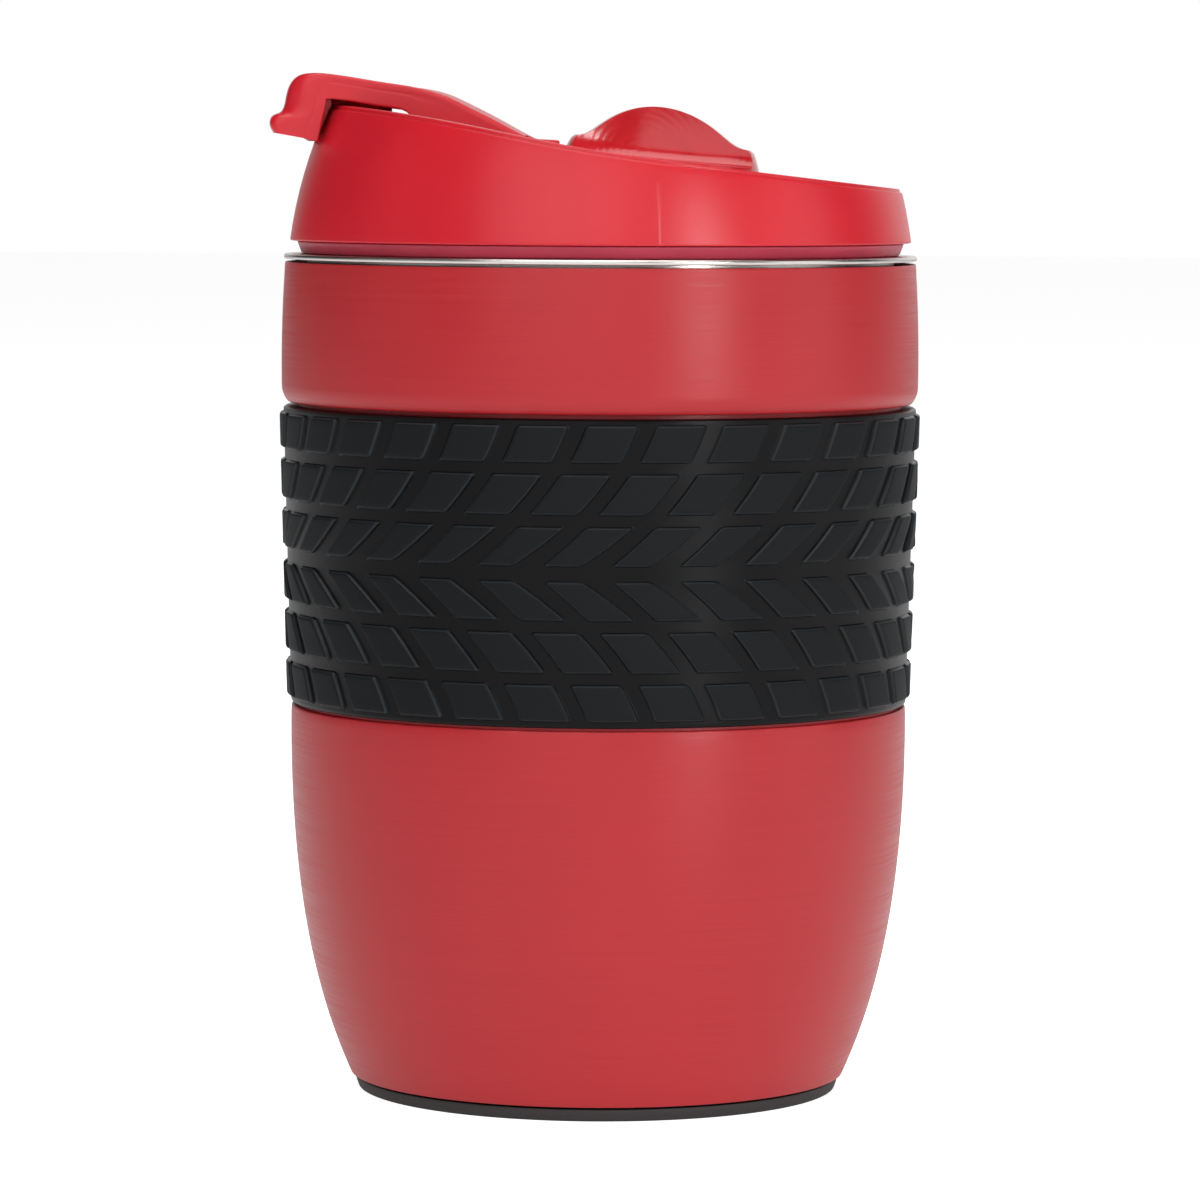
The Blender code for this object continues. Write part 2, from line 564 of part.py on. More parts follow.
def make_vent_stack(knob_joint):
    """What lies under the deck: seal, turning shutter, washer and screw, and the shaft's O-ring."""
    seal_top = -MOULDED_WALL - GAP
    seal_bottom = seal_top - 0.8 * MM
    shutter_top, shutter_bottom = seal_bottom - GAP, -4.9 * MM
    closed, under_deck_port = (0.0, -PORT_OFFSET), (-PORT_OFFSET, 0.0)
    seal = flat_ring("shutter_seal", 3.4 * MM, 8.6 * MM, seal_top, seal_bottom, under_deck_port, knob_joint)
    finish(seal, MAUVE_SILICONE)
    shutter = flat_ring("vent_shutter", 3.3 * MM, 9.2 * MM, shutter_top, shutter_bottom, closed, knob_joint)
    finish(shutter, BLACK_PLASTIC)

    washer_top = shutter_bottom - GAP
    washer_bottom = washer_top - 0.5 * MM
    washer = flat_ring("knob_washer", 1.1 * MM, 4.5 * MM, washer_top, washer_bottom, None, knob_joint)
    finish(washer, STEEL_FINISH)

    head_top = washer_bottom - GAP
    thread, head, head_bottom = 0.8 * MM, 2.2 * MM, head_top - 1.3 * MM
    slot = 1.0 * MM
    profile = [(0.0, 0.5 * MM), (thread, 0.0), (thread, head_top), (head, head_top)]
    profile += [(head, head_bottom + 0.4 * MM), (head - 0.5 * MM, head_bottom), (slot, head_bottom)]
    profile += [(slot, head_bottom + 0.7 * MM), (0.0, head_bottom + 0.7 * MM)]
    finish(turned("knob_screw", profile, FINE_STEPS, parent=knob_joint), STEEL_FINISH)

    ring = turned("knob_o_ring", arc((2.7 * MM, -0.8 * MM), 0.4 * MM, 90, -225, 8), 24, True, knob_joint)
    finish(ring, BLACK_SILICONE)


make_outer_shell()
make_inner_liner()
make_base_plate()
make_vacuum_seal()
make_getter()
make_base_foot()
make_foot_adhesive()
make_grip_sleeve()

LID_LIFT = make_joint("lid_lift", (0.0, 0.0, LID_BOTTOM))
FLAP_HINGE = make_joint("flap_hinge", (HINGE_X, 0.0, HINGE_HEIGHT))
KNOB_TURN = make_joint("vent_knob_turn", (KNOB_X, 0.0, DECK_HEIGHT), DECK_TILT)
make_lid_shell(LID_LIFT, KNOB_TURN)
make_lid_plug(LID_LIFT)
make_lid_gasket(LID_LIFT)
make_hinge_pin(LID_LIFT)
make_drinking_flap(FLAP_HINGE)
make_flap_stopper(FLAP_HINGE)
make_vent_knob(KNOB_TURN)
make_vent_stack(KNOB_TURN)
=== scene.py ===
"""Looks of the travel mug: each section makes one piece, its material and its place on the frame.

Lengths are metres, written as millimetres times MM. The mug's axis is Z and the flap points towards -X.
"""

import bmesh
import bpy
import numpy as np
from mathutils import Matrix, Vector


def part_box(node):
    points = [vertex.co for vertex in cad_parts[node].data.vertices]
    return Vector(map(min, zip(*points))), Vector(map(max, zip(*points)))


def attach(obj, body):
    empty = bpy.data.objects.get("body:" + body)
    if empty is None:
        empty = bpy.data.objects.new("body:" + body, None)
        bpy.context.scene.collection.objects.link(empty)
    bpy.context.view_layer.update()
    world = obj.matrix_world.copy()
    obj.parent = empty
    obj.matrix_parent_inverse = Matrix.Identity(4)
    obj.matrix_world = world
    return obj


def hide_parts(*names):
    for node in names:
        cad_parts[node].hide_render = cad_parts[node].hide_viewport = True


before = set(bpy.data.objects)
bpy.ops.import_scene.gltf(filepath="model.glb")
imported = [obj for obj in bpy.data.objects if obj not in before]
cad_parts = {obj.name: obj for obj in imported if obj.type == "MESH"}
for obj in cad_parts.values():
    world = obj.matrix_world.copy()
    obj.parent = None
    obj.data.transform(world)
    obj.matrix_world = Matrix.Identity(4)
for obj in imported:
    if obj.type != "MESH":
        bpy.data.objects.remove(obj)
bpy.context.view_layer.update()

# ------------------------------------------------------------------------------------- outer shell
# The mug's outer wall. Deep-drawn stainless steel, linished round its axis and sprayed with a thin
# satin red that lets the linishing lines show. It narrows to the foot, has a groove for the sleeve
# and ends in a straight bare band under the curled lip.
MM = 0.001
SHELL_LOW, SHELL_HIGH = (corner[2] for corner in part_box("outer_shell"))
WAIST_R, WAIST_Z = 36.78 * MM, 43.5 * MM
STEEL = 0.6 * MM


def body_radius(z):
    """Outer radius of the tapered body: the waist's radius less a square and a fourth-power term."""
    u = np.clip((WAIST_Z - z) / (WAIST_Z - 1.46 * MM), 0, None)
    return WAIST_R - (5.04 * u**2 + 2.36 * u**4) * MM


def rounded(corners, cuts, fills, steps=5, closed=True):
    """An outline through corners (..., k, 2). Each corner becomes a quadratic curve that starts its cut
    before the corner and ends as far after it, and fills says how many evenly spaced points follow it."""
    corners = np.asarray(corners, float)
    count = corners.shape[-2]
    cuts = np.broadcast_to(np.asarray(cuts, float), corners.shape[:-1])
    run = np.roll(corners, -1, axis=-2) - corners
    run /= np.maximum(np.linalg.norm(run, axis=-1, keepdims=True), 1e-12)
    t = np.linspace(0, 1, steps)[:, None]
    parts = []
    for k in range(count):
        corner, cut = corners[..., k, None, :], cuts[..., k, None, None]
        end = corner + run[..., k, None, :] * cut
        last = not closed and k == count - 1
        if closed or 0 < k < count - 1:
            start = corner - run[..., k - 1, None, :] * cut
            parts.append((1 - t) ** 2 * start + 2 * t * (1 - t) * corner + t**2 * end)
        else:
            parts.append(corner)
        if not last and fills[k]:
            following = (k + 1) % count
            stop = corners[..., following, None, :] - run[..., k, None, :] * cuts[..., following, None, None]
            share = np.linspace(0, 1, fills[k] + 2)[1:-1, None]
            parts.append(end * (1 - share) + stop * share)
    if closed:
        parts.append(parts[0][..., :1, :])
    return np.concatenate(parts, axis=-2)


def solid(name, *grids):
    """A piece from closed grids of points (rows, columns, 3), welded where rows or columns meet."""
    bm = bmesh.new()
    for grid in grids:
        rows, columns = grid.shape[:2]
        index = np.arange(rows * columns).reshape(rows, columns)
        quads = np.stack([index[:-1, :-1], index[1:, :-1], index[1:, 1:], index[:-1, 1:]], axis=-1)
        patch = bpy.data.meshes.new(name)
        patch.from_pydata(grid.reshape(-1, 3), [], quads.reshape(-1, 4))
        bm.from_mesh(patch)
        bpy.data.meshes.remove(patch)
    bmesh.ops.remove_doubles(bm, verts=bm.verts, dist=0.2e-6)
    bmesh.ops.delete(bm, geom=[edge for edge in bm.edges if not edge.link_faces], context="EDGES")
    bmesh.ops.recalc_face_normals(bm, faces=bm.faces)
    mesh = bpy.data.meshes.new(name)
    bm.to_mesh(mesh)
    bm.free()
    mesh.shade_smooth()
    mesh.set_sharp_from_angle(angle=np.radians(50))
    piece = bpy.data.objects.new(name, mesh)
    bpy.context.scene.collection.objects.link(piece)
    return piece


def lathe(outline, angles=256, centre=(0.0, 0.0)):
    """Turns an outline (n, 2), or one outline for each angle (angles, n, 2), about a vertical axis:
    x = r cos(angle), y = r sin(angle), z = height."""
    turn = np.linspace(0, 2 * np.pi, angles + 1)[:, None] if np.isscalar(angles) else angles[:, None]
    r, z = outline[..., 0], outline[..., 1]
    x, y = centre[0] + r * np.cos(turn), centre[1] + r * np.sin(turn)
    return np.stack([x, y, np.broadcast_to(z, x.shape)], axis=-1)


shell_outside = [(37.0 * MM, SHELL_HIGH), (37.58 * MM, SHELL_HIGH), (37.88 * MM, 93.5 * MM)]
shell_outside += [(38.0 * MM, 87.5 * MM), (37.95 * MM, 83.2 * MM), (37.2 * MM, 82.15 * MM)]
shell_outside += [(36.0 * MM, 82.15 * MM), (36.0 * MM, 46.1 * MM), (36.72 * MM, 46.1 * MM)]
taper = np.linspace(45.0 * MM, SHELL_LOW, 60)
shell_outside += list(zip(body_radius(taper), taper))
rise = np.linspace(SHELL_LOW, 44.5 * MM, 12)
shell_inside = list(zip(body_radius(rise) - STEEL, rise))
shell_inside += [(35.4 * MM, 45.6 * MM), (35.4 * MM, 82.7 * MM)]
shell_inside += [(37.35 * MM, 85.3 * MM), (37.4 * MM, 88.0 * MM)]
shell_corners = np.array(shell_outside + shell_inside)
shell_cuts = np.zeros(len(shell_corners))
shell_cuts[[1, 2, 3, 4, 5, 8]] = np.array([0.15, 3.0, 2.4, 0.9, 0.25, 0.2]) * MM
shell_cuts[len(shell_outside) - 1] = 0.12 * MM
shell_fills = np.zeros(len(shell_corners), int)
shell_fills[[1, 2, 3, 6]] = 6, 4, 3, 20
shell_skin = solid("painted_shell", lathe(rounded(shell_corners, shell_cuts, shell_fills), 320))


def linear(code):
    """An sRGB hex colour as linear light, with alpha 1."""
    value = np.array([int(code[i : i + 2], 16) for i in (1, 3, 5)]) / 255
    value = np.where(value <= 0.04045, value / 12.92, ((value + 0.055) / 1.055) ** 2.4)
    return (*value, 1.0)


def add(tree, kind, inputs=None, **settings):
    """Adds a node. inputs maps a socket to a value, or to another node's output that feeds it."""
    made = tree.nodes.new("ShaderNode" + kind)
    for key, value in settings.items():
        setattr(made, key, value)
    for key, value in (inputs or {}).items():
        if isinstance(value, bpy.types.NodeSocket):
            tree.links.new(value, made.inputs[key])
        else:
            made.inputs[key].default_value = value
    return made


def new_material(name, inputs):
    """A material with one Principled shader, whose sockets take the given values. Returns it and its tree."""
    made = bpy.data.materials.new(name)
    made.use_nodes = True
    shader = made.node_tree.nodes["Principled BSDF"]
    for key, value in inputs.items():
        shader.inputs[key].default_value = value
    return made, made.node_tree, shader


def ramp(tree, value, low, high, low_out, high_out):
    """Maps value from low..high to low_out..high_out, held at both ends."""
    sockets = {"Value": value, "From Min": low, "From Max": high, "To Min": low_out, "To Max": high_out}
    return add(tree, "MapRange", sockets).outputs["Result"]


def dress(piece, material):
    """Gives a piece, or a CAD node, this one material."""
    piece.data.materials.clear()
    piece.data.materials.append(material)


# Satin two-pack paint over linished steel: soft broad highlight, fine level lines, faint mottle.
paint, tree, shader = new_material("satin_red_paint_on_linished_steel", {"IOR": 1.5})
shader.inputs["Specular IOR Level"].default_value = 0.36
spot = add(tree, "TexCoord").outputs["Object"]
# Linishing lines are 0.15 mm apart up the wall and run some 20 mm round it.
stretch = add(tree, "Mapping", {"Vector": spot, "Scale": (50, 50, 6500)}).outputs["Vector"]
lines = add(tree, "TexNoise", {"Vector": stretch, "Scale": 1.0, "Detail": 3.0}).outputs["Fac"]
mottle = add(tree, "TexNoise", {"Vector": spot, "Scale": 90.0, "Detail": 3.0}).outputs["Fac"]
shares = {0: ramp(tree, lines, 0.3, 0.7, 0.0, 0.7), 1: ramp(tree, mottle, 0.3, 0.7, 0.0, 0.3)}
shade = add(tree, "Mix", {0: add(tree, "Math", shares).outputs[0]}, data_type="RGBA")
shade.inputs[6].default_value = linear("#a81f25")
shade.inputs[7].default_value = linear("#b0252b")
tree.links.new(shade.outputs[2], shader.inputs["Base Color"])
tree.links.new(ramp(tree, lines, 0.3, 0.7, 0.3, 0.42), shader.inputs["Roughness"])
bump = add(tree, "Bump", {"Height": lines, "Strength": 0.06, "Distance": 0.05 * MM})
tree.links.new(bump.outputs["Normal"], shader.inputs["Normal"])
dress(shell_skin, paint)
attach(shell_skin, "cup")
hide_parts("outer_shell")

# ------------------------------------------------------------------------------------- inner liner
# The vessel that holds the drink: drawn stainless steel, bare inside. Its top edge is curled
# outwards over the shell and polished, and shows as a bright line round the mouth.
LINER_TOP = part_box("inner_liner")[1][2]
MOUTH_R, VESSEL_R, FLOOR_Z, SHEET = 34.45 * MM, 33.2 * MM, 7.2 * MM, 0.5 * MM
heights = np.linspace(11.2 * MM, WAIST_Z, 24)
wall = np.stack([body_radius(heights) - (WAIST_R - VESSEL_R), heights], axis=1)
inside = np.array([(0.0, FLOOR_Z), (wall[0, 0], FLOOR_Z), *wall[3:], (VESSEL_R, 86.0 * MM)])
inside = np.vstack([inside, [(MOUTH_R, 88.0 * MM), (MOUTH_R, LINER_TOP)]])
lip_low = LINER_TOP - 0.62 * MM
lip = np.array([(37.7 * MM, LINER_TOP), (37.7 * MM, lip_low), (34.95 * MM, lip_low)])
outside = inside[1:-1][::-1] + (SHEET, 0.0)
outside = np.vstack([outside, [(0.0, FLOOR_Z)]])
outside[-2:, 1] -= SHEET
liner_corners = np.vstack([inside, lip, outside])
liner_cuts = np.zeros(len(liner_corners))
top = len(inside)
liner_cuts[1] = liner_cuts[-2] = 3.6 * MM
liner_cuts[top - 3 : top + 2] = np.array([0.6, 0.6, 0.3, 0.28, 0.28]) * MM
liner_fills = np.zeros(len(liner_corners), int)
liner_fills[[0, top - 4, top - 2, top - 1]] = 12, 20, 6, 4
profile = rounded(liner_corners, liner_cuts, liner_fills, closed=False)
vessel = solid("steel_vessel", lathe(profile, 256))

# Drawn 304 steel, linished inside and polished on the lip: grey, with streaks that run round it.
steel, tree, shader = new_material("linished_stainless_steel", {"Metallic": 1.0})
spot = add(tree, "TexCoord").outputs["Object"]
stretch = add(tree, "Mapping", {"Vector": spot, "Scale": (70, 70, 7000)}).outputs["Vector"]
lines = add(tree, "TexNoise", {"Vector": stretch, "Scale": 1.0, "Detail": 4.0}).outputs["Fac"]
shade = add(tree, "Mix", {0: ramp(tree, lines, 0.3, 0.7, 0.0, 1.0)}, data_type="RGBA")
shade.inputs[6].default_value = linear("#c9c4c0")
shade.inputs[7].default_value = linear("#d6d2ce")
tree.links.new(shade.outputs[2], shader.inputs["Base Color"])
tree.links.new(ramp(tree, lines, 0.3, 0.7, 0.2, 0.32), shader.inputs["Roughness"])
bump = add(tree, "Bump", {"Height": lines, "Strength": 0.1, "Distance": 0.02 * MM})
tree.links.new(bump.outputs["Normal"], shader.inputs["Normal"])
dress(vessel, steel)
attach(vessel, "cup")
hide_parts("inner_liner")

# ------------------------------------------------------------------------------------- base pieces
# What closes the bottom: a pressed steel plate with its glass seal and getter, all hidden, foam
# tape, and the moulded rubber foot that the mug stands on, with two shallow grip grooves below.
FOOT_R, FOOT_TOP = 28.95 * MM, 1.46 * MM
foot_corners = [(0.0, 1.9 * MM), (27.6 * MM, 1.9 * MM), (27.6 * MM, FOOT_TOP), (FOOT_R, FOOT_TOP)]
foot_corners += [(FOOT_R, 1.0 * MM), (FOOT_R - 0.35 * MM, 0.0)]
foot_cuts, foot_fills = [0, 0.1, 0, 0.12, 0.2, 0.25], [6, 0, 0, 0, 2, 6]
for groove in (22.0, 14.0):
    foot_corners += [((groove + 0.8) * MM, 0.0), ((groove + 0.8) * MM, 0.5 * MM)]
    foot_corners += [((groove - 0.8) * MM, 0.5 * MM), ((groove - 0.8) * MM, 0.0)]
    foot_cuts += [0.15, 0.15, 0.15, 0.15]
    foot_fills += [0, 0, 0, 6]
foot_corners.append((0.0, 0.0))
profile = rounded(foot_corners, np.array([*foot_cuts, 0]) * MM, [*foot_fills, 0], closed=False)
foot = solid("rubber_foot", lathe(profile, 256))

# Moulded nitrile rubber: dark warm grey, matte, with the fine grit of a blasted mould.
rubber, tree, shader = new_material("moulded_grey_rubber", {"Roughness": 0.6, "IOR": 1.5})
spot = add(tree, "TexCoord").outputs["Object"]
grit = add(tree, "TexNoise", {"Vector": spot, "Scale": 4000.0, "Detail": 2.0}).outputs["Fac"]
cloud = add(tree, "TexNoise", {"Vector": spot, "Scale": 120.0, "Detail": 3.0}).outputs["Fac"]
shade = add(tree, "Mix", {0: cloud}, data_type="RGBA")
shade.inputs[6].default_value = linear("#252223")
shade.inputs[7].default_value = linear("#2d2a2b")
tree.links.new(shade.outputs[2], shader.inputs["Base Color"])
bump = add(tree, "Bump", {"Height": grit, "Strength": 0.25, "Distance": 0.05 * MM})
tree.links.new(bump.outputs["Normal"], shader.inputs["Normal"])
dress(foot, rubber)
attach(foot, "cup")
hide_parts("base_foot")
for name in ("base_plate", "getter_capsule"):
    dress(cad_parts[name], steel)
dress(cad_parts["foot_adhesive_ring"], rubber)

# Sealing glass: dark, smooth, with a slight flow pattern from melting.
glass, tree, shader = new_material("melted_sealing_glass", {"Roughness": 0.12, "IOR": 1.55})
spot = add(tree, "TexCoord").outputs["Object"]
swirled = {"Vector": spot, "Scale": 700.0, "Detail": 2.0, "Distortion": 1.5}
swirl = add(tree, "TexNoise", swirled).outputs["Fac"]
shade = add(tree, "Mix", {0: swirl}, data_type="RGBA")
shade.inputs[6].default_value = linear("#2a2e31")
shade.inputs[7].default_value = linear("#3a4044")
tree.links.new(shade.outputs[2], shader.inputs["Base Color"])
dress(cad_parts["vacuum_seal_bead"], glass)

# ------------------------------------------------------------------------------------- grip sleeve
# A band of black silicone moulded like a car tyre's tread: six rows of 30 raised blocks whose sides
# lean back from the centre line in a chevron. It is stretched over the mouth into the shell's groove.
(_, _, SLEEVE_LOW), (_, _, SLEEVE_HIGH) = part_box("grip_sleeve")
BLOCKS, TREAD_DEPTH, SLEEVE_BORE = 30, 0.5 * MM, 36.08 * MM
MIDDLE_Z = 64.2 * MM  # the line from which the chevrons lean
ROWS = np.array([(0.91, 5.1), (6.75, 11.1), (12.7, 16.65)]) * MM  # the blocks' ends, from the middle
FIRST_BLOCK = np.radians(-90) + 2.247 * MM / (37.8 * MM)
LOWER_DROP, LOWER_SHIFT = 0.2 * MM, -0.35 * MM  # the lower rows sit this much lower and further back
UPPER_SHIFT, TOP_ROW_SHIFT = -0.5 * MM, -0.22 * MM  # the upper rows, and the topmost one, lie back by this
row_edge = np.array([-0.3, -0.2, -0.1, 0.0, 0.06, 0.12, 0.3]) * MM  # point rows over a block's end
side_edge = np.array([-0.42, -0.28, -0.14, 0.0, 0.08, 0.17, 0.42]) * MM  # and columns over its side


def top_radius(z):
    """Radius on the blocks, in proportion between the sleeve's ends."""
    share = (z - SLEEVE_LOW) / (SLEEVE_HIGH - SLEEVE_LOW)
    return (37.3 + 0.95 * share) * MM


def block_start(t):
    """How far round the band a block's near side lies at the distance t from the middle line."""
    t = (t - 0.86 * MM) / MM
    return (1.2447 * t - 0.02822 * t**2) * MM


def block_width(t):
    """Width of a block at the distance t: 4 mm by the middle line, 5.6 mm at the sleeve's ends."""
    return (5.62 - 1.62 * np.exp(-(t / MM - 0.86) / 4.2)) * MM


def edge_lines(low, high):
    """Row positions over one block: close together over both ends, wide apart on top."""
    centre = np.linspace(low + 0.8 * MM, high - 0.8 * MM, 3)
    return np.concatenate([low + row_edge, centre, high - row_edge[::-1]])


block_rows = [edge_lines(*row) for row in ROWS]
t_up = np.concatenate([[0.0, 0.3 * MM], *block_rows, np.array([17.1, 17.3, 17.45, 17.53]) * MM])
z = np.concatenate([MIDDLE_Z - LOWER_DROP - t_up[:0:-1], [MIDDLE_Z - LOWER_DROP / 2], MIDDLE_Z + t_up[1:]])
z = z[(z > SLEEVE_LOW + 0.05 * MM) & (z < SLEEVE_HIGH - 0.05 * MM)]
z = np.concatenate([[SLEEVE_LOW], z, [SLEEVE_HIGH]])
below = z < MIDDLE_Z - LOWER_DROP / 2
t = np.where(below, MIDDLE_Z - LOWER_DROP - z, z - MIDDLE_Z)

# A column lies at `of_width` of the block's width, plus an offset, plus `of_gap` of the gap after it.
of_width = np.concatenate([0 * side_edge, [0.25, 0.5, 0.75], 1 + 0 * side_edge, [1.0]])
offset = np.concatenate([side_edge, [0, 0, 0], -side_edge[::-1], [0]])
of_gap = np.append(np.zeros(len(offset) - 1), 0.5)
block = np.arange(BLOCKS * len(offset)) // len(offset)
radius = top_radius(z)[:, None]
width = block_width(t)[:, None]
gap = 2 * np.pi / BLOCKS * radius - width
past = np.tile(of_width * width + offset + of_gap * gap, BLOCKS)
upper_shift = np.where(t < 12 * MM, UPPER_SHIFT, TOP_ROW_SHIFT)
start = (block_start(t) + np.where(below, LOWER_SHIFT, upper_shift))[:, None]
angle = FIRST_BLOCK + block * 2 * np.pi / BLOCKS + (start + past) / radius

# Height of the tread: the distance out from the nearest block's outline, which rises steeply from the
# groove and rounds over at the top.
lean = np.cos(np.arctan(1.2447 - 2 * 0.02822 * (t / MM - 0.86)))[:, None]
side = np.maximum(-past, past - width) * lean
middle, half = ROWS.mean(axis=1), np.diff(ROWS, axis=1)[:, 0] / 2
level = np.min(np.abs(t[:, None] - middle) - half, axis=1)[:, None]
corner = 0.2 * MM
out = np.hypot(np.maximum(side + corner, 0), np.maximum(level + corner, 0))
out += np.minimum(np.maximum(side + corner, level + corner), 0) - corner
ease = np.clip((0.18 * MM - out) / (0.42 * MM), 0, 1)
tread = TREAD_DEPTH * (1 - (1 - ease) ** 2.4)
outer = radius - TREAD_DEPTH + tread
# The ends are rolled over by 0.3 mm.
from_end = np.minimum(z - SLEEVE_LOW, SLEEVE_HIGH - z)[:, None] / (0.3 * MM)
outer -= 0.3 * MM * (1 - np.sqrt(1 - (1 - np.clip(from_end, 0, 1)) ** 2))
high = np.broadcast_to(z[:, None], angle.shape)
face = np.stack([outer * np.cos(angle), outer * np.sin(angle), high], axis=-1)


def band_edge(height, angles, radii):
    """One ring of points at a height."""
    flat_ring = [radii * np.cos(angles), radii * np.sin(angles), np.full_like(angles, height)]
    return np.stack(flat_ring, axis=-1)[None]


lower, upper = angle[0], angle[-1]
bore = [band_edge(SLEEVE_HIGH, upper, outer[-1] - 0.1 * MM)]
bore.append(band_edge(SLEEVE_HIGH, upper, SLEEVE_BORE + 0 * upper))
bore.append(band_edge(SLEEVE_LOW, lower, SLEEVE_BORE + 0 * lower))
bore.append(band_edge(SLEEVE_LOW, lower, outer[0] - 0.1 * MM))
band = np.concatenate([face, *bore, face[:1]])
sleeve = solid("tread_sleeve", np.concatenate([band, band[:, :1]], axis=1))

# Silicone from a mould whose block faces are spark-eroded and whose grooves are polished: the tops
# are matte with a fine grain, and the grooves and sides have a soft sheen.
silicone, tree, shader = new_material("moulded_black_silicone", {"IOR": 1.41})
shader.inputs["Specular IOR Level"].default_value = 0.2
spot = add(tree, "TexCoord").outputs["Object"]
split = add(tree, "SeparateXYZ", {"Vector": spot})
flat = add(tree, "CombineXYZ", {"X": split.outputs["X"], "Y": split.outputs["Y"]}).outputs["Vector"]
distance = add(tree, "VectorMath", {0: flat}, operation="LENGTH").outputs["Value"]
slope = 0.95 * MM / (SLEEVE_HIGH - SLEEVE_LOW)
base = add(tree, "Math", {0: split.outputs["Z"], 1: -slope, 2: distance}, operation="MULTIPLY_ADD").outputs[0]
groove_radius = 36.8 * MM - slope * SLEEVE_LOW
height = ramp(tree, base, groove_radius, groove_radius + 0.5 * MM, 0.0, 1.0)
on_top = ramp(tree, height, 0.6, 0.94, 0.0, 1.0)
grain = add(tree, "TexNoise", {"Vector": spot, "Scale": 5200.0, "Detail": 2.0}).outputs["Fac"]
smear = add(tree, "TexNoise", {"Vector": spot, "Scale": 60.0, "Detail": 3.0}).outputs["Fac"]
# The block sides are painted paler than the tops, a painted highlight where the edges catch the overhead
# lamp, and the grooves are painted darker than the tops, painted shade in the hollows between the blocks.
shade = add(tree, "ValToRGB", {"Fac": height})
stops = shade.color_ramp.elements
for stop, place, code in ((stops[0], 0.25, "#08080a"), (stops[1], 0.93, "#101315")):
    stop.position, stop.color = place, linear(code)
# Painted highlight: the paler colour on the block sides.
for place in (0.5, 0.8):
    stops.new(place).color = linear("#262a2d")
tree.links.new(shade.outputs["Color"], shader.inputs["Base Color"])
rough = add(tree, "Mix", {0: on_top, 2: ramp(tree, smear, 0.3, 0.7, 0.28, 0.38), 3: 0.6}).outputs[0]
tree.links.new(rough, shader.inputs["Roughness"])
strength = ramp(tree, on_top, 0.0, 1.0, 0.05, 0.5)
bump = add(tree, "Bump", {"Height": grain, "Strength": strength, "Distance": 0.03 * MM})
tree.links.new(bump.outputs["Normal"], shader.inputs["Normal"])
dress(sleeve, silicone)
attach(sleeve, "cup")
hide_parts("grip_sleeve")

# ------------------------------------------------------------------------------------- lid shell
# The red lid, one polypropylene moulding: a wall that leans in, a sloped rim with a soft edge, a
# sunken deck that slopes less than the rim, a drinking hole and two ears for the hinge pin.
LID_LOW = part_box("lid_shell")[0][2]
LID_WALL, DECK_Z, KNOB_X, SPOUT_X = 1.6 * MM, 109.0 * MM, 7.0 * MM, -28.0 * MM
DECK_SLOPE = np.tan(np.radians(5))
SEAM_ANGLE = np.radians(-90 + 10.3)


def lid_radius(z):
    """Outer radius of the lid's wall: it leans in by a straight and a square term of the height."""
    h = (z - LID_LOW) / MM
    return (37.0 - 0.13 * h - 0.010 * h**2) * MM


def rim_height(x):
    """Height of the rim over the place x: a straight slope and an S-curve, steepest near the hinge."""
    return (112.77 - 113.5 * x - 1.04 * np.tanh((x + 10.86 * MM) / (11.47 * MM))) * MM


def deck_height(x):
    """Height of the deck's upper face over the place x."""
    return DECK_Z - DECK_SLOPE * (x - KNOB_X)


seam_steps = SEAM_ANGLE + np.array([-0.4, -0.15, -0.05, 0, 0.05, 0.15, 0.4]) * MM / (37 * MM)
turn = np.sort(np.concatenate([np.linspace(-np.pi, np.pi, 361), seam_steps]))
rim = rim_height(34.0 * MM * np.cos(turn))
rim = rim_height((lid_radius(rim) - 0.4 * MM) * np.cos(turn))
deck_edge = deck_height(33.2 * MM * np.cos(turn))
wall_up = LID_LOW + (rim[:, None] - 0.3 * MM - LID_LOW) * np.linspace(0.0, 1.0, 9)
corners, lid_cuts, lid_fills = [], [], []


def lid_corner(r, z, cut=0.0, fill=0):
    """Adds one corner, the same or different at each angle, to the lid's outlines."""
    corners.append(np.stack(np.broadcast_arrays(r, z, turn)[:2], axis=-1))
    lid_cuts.append(cut)
    lid_fills.append(fill)


lid_corner(lid_radius(LID_LOW) - LID_WALL, LID_LOW, 0.25 * MM)
lid_corner(lid_radius(LID_LOW), LID_LOW, 0.25 * MM, 1)
for k in range(1, 8):
    lid_corner(lid_radius(wall_up[:, k]), wall_up[:, k])
lid_corner(lid_radius(rim - 0.45 * MM), rim - 0.45 * MM, 0.17 * MM, 0)
lid_corner(lid_radius(rim) - 0.15 * MM, rim - 0.43 * MM, 0.05 * MM, 1)
lid_corner(lid_radius(rim) - 0.2 * MM, rim, 0.17 * MM, 1)
lid_corner(lid_radius(rim) - LID_WALL, rim, 0.3 * MM, 2)
lid_corner(lid_radius(deck_edge) - LID_WALL, deck_edge, 0.7 * MM, 24)
lid_corner(0.0, DECK_Z + DECK_SLOPE * KNOB_X)
lid_corner(0.0, DECK_Z + DECK_SLOPE * KNOB_X - LID_WALL, 0.0, 16)
lid_corner(lid_radius(deck_edge) - LID_WALL, deck_edge - LID_WALL, 0.5 * MM, 4)
outline = rounded(np.stack(corners, axis=1), np.array(lid_cuts), lid_fills)
# A parting line of the mould stands 0.03 mm proud on the outer wall.
near_seam = 0.03 * MM * np.exp(-(((turn - SEAM_ANGLE) * 37 / 0.09) ** 2))
outline[:, 1:40, 0] += near_seam[:, None]
lid = solid("lid_moulding", lathe(outline, turn))


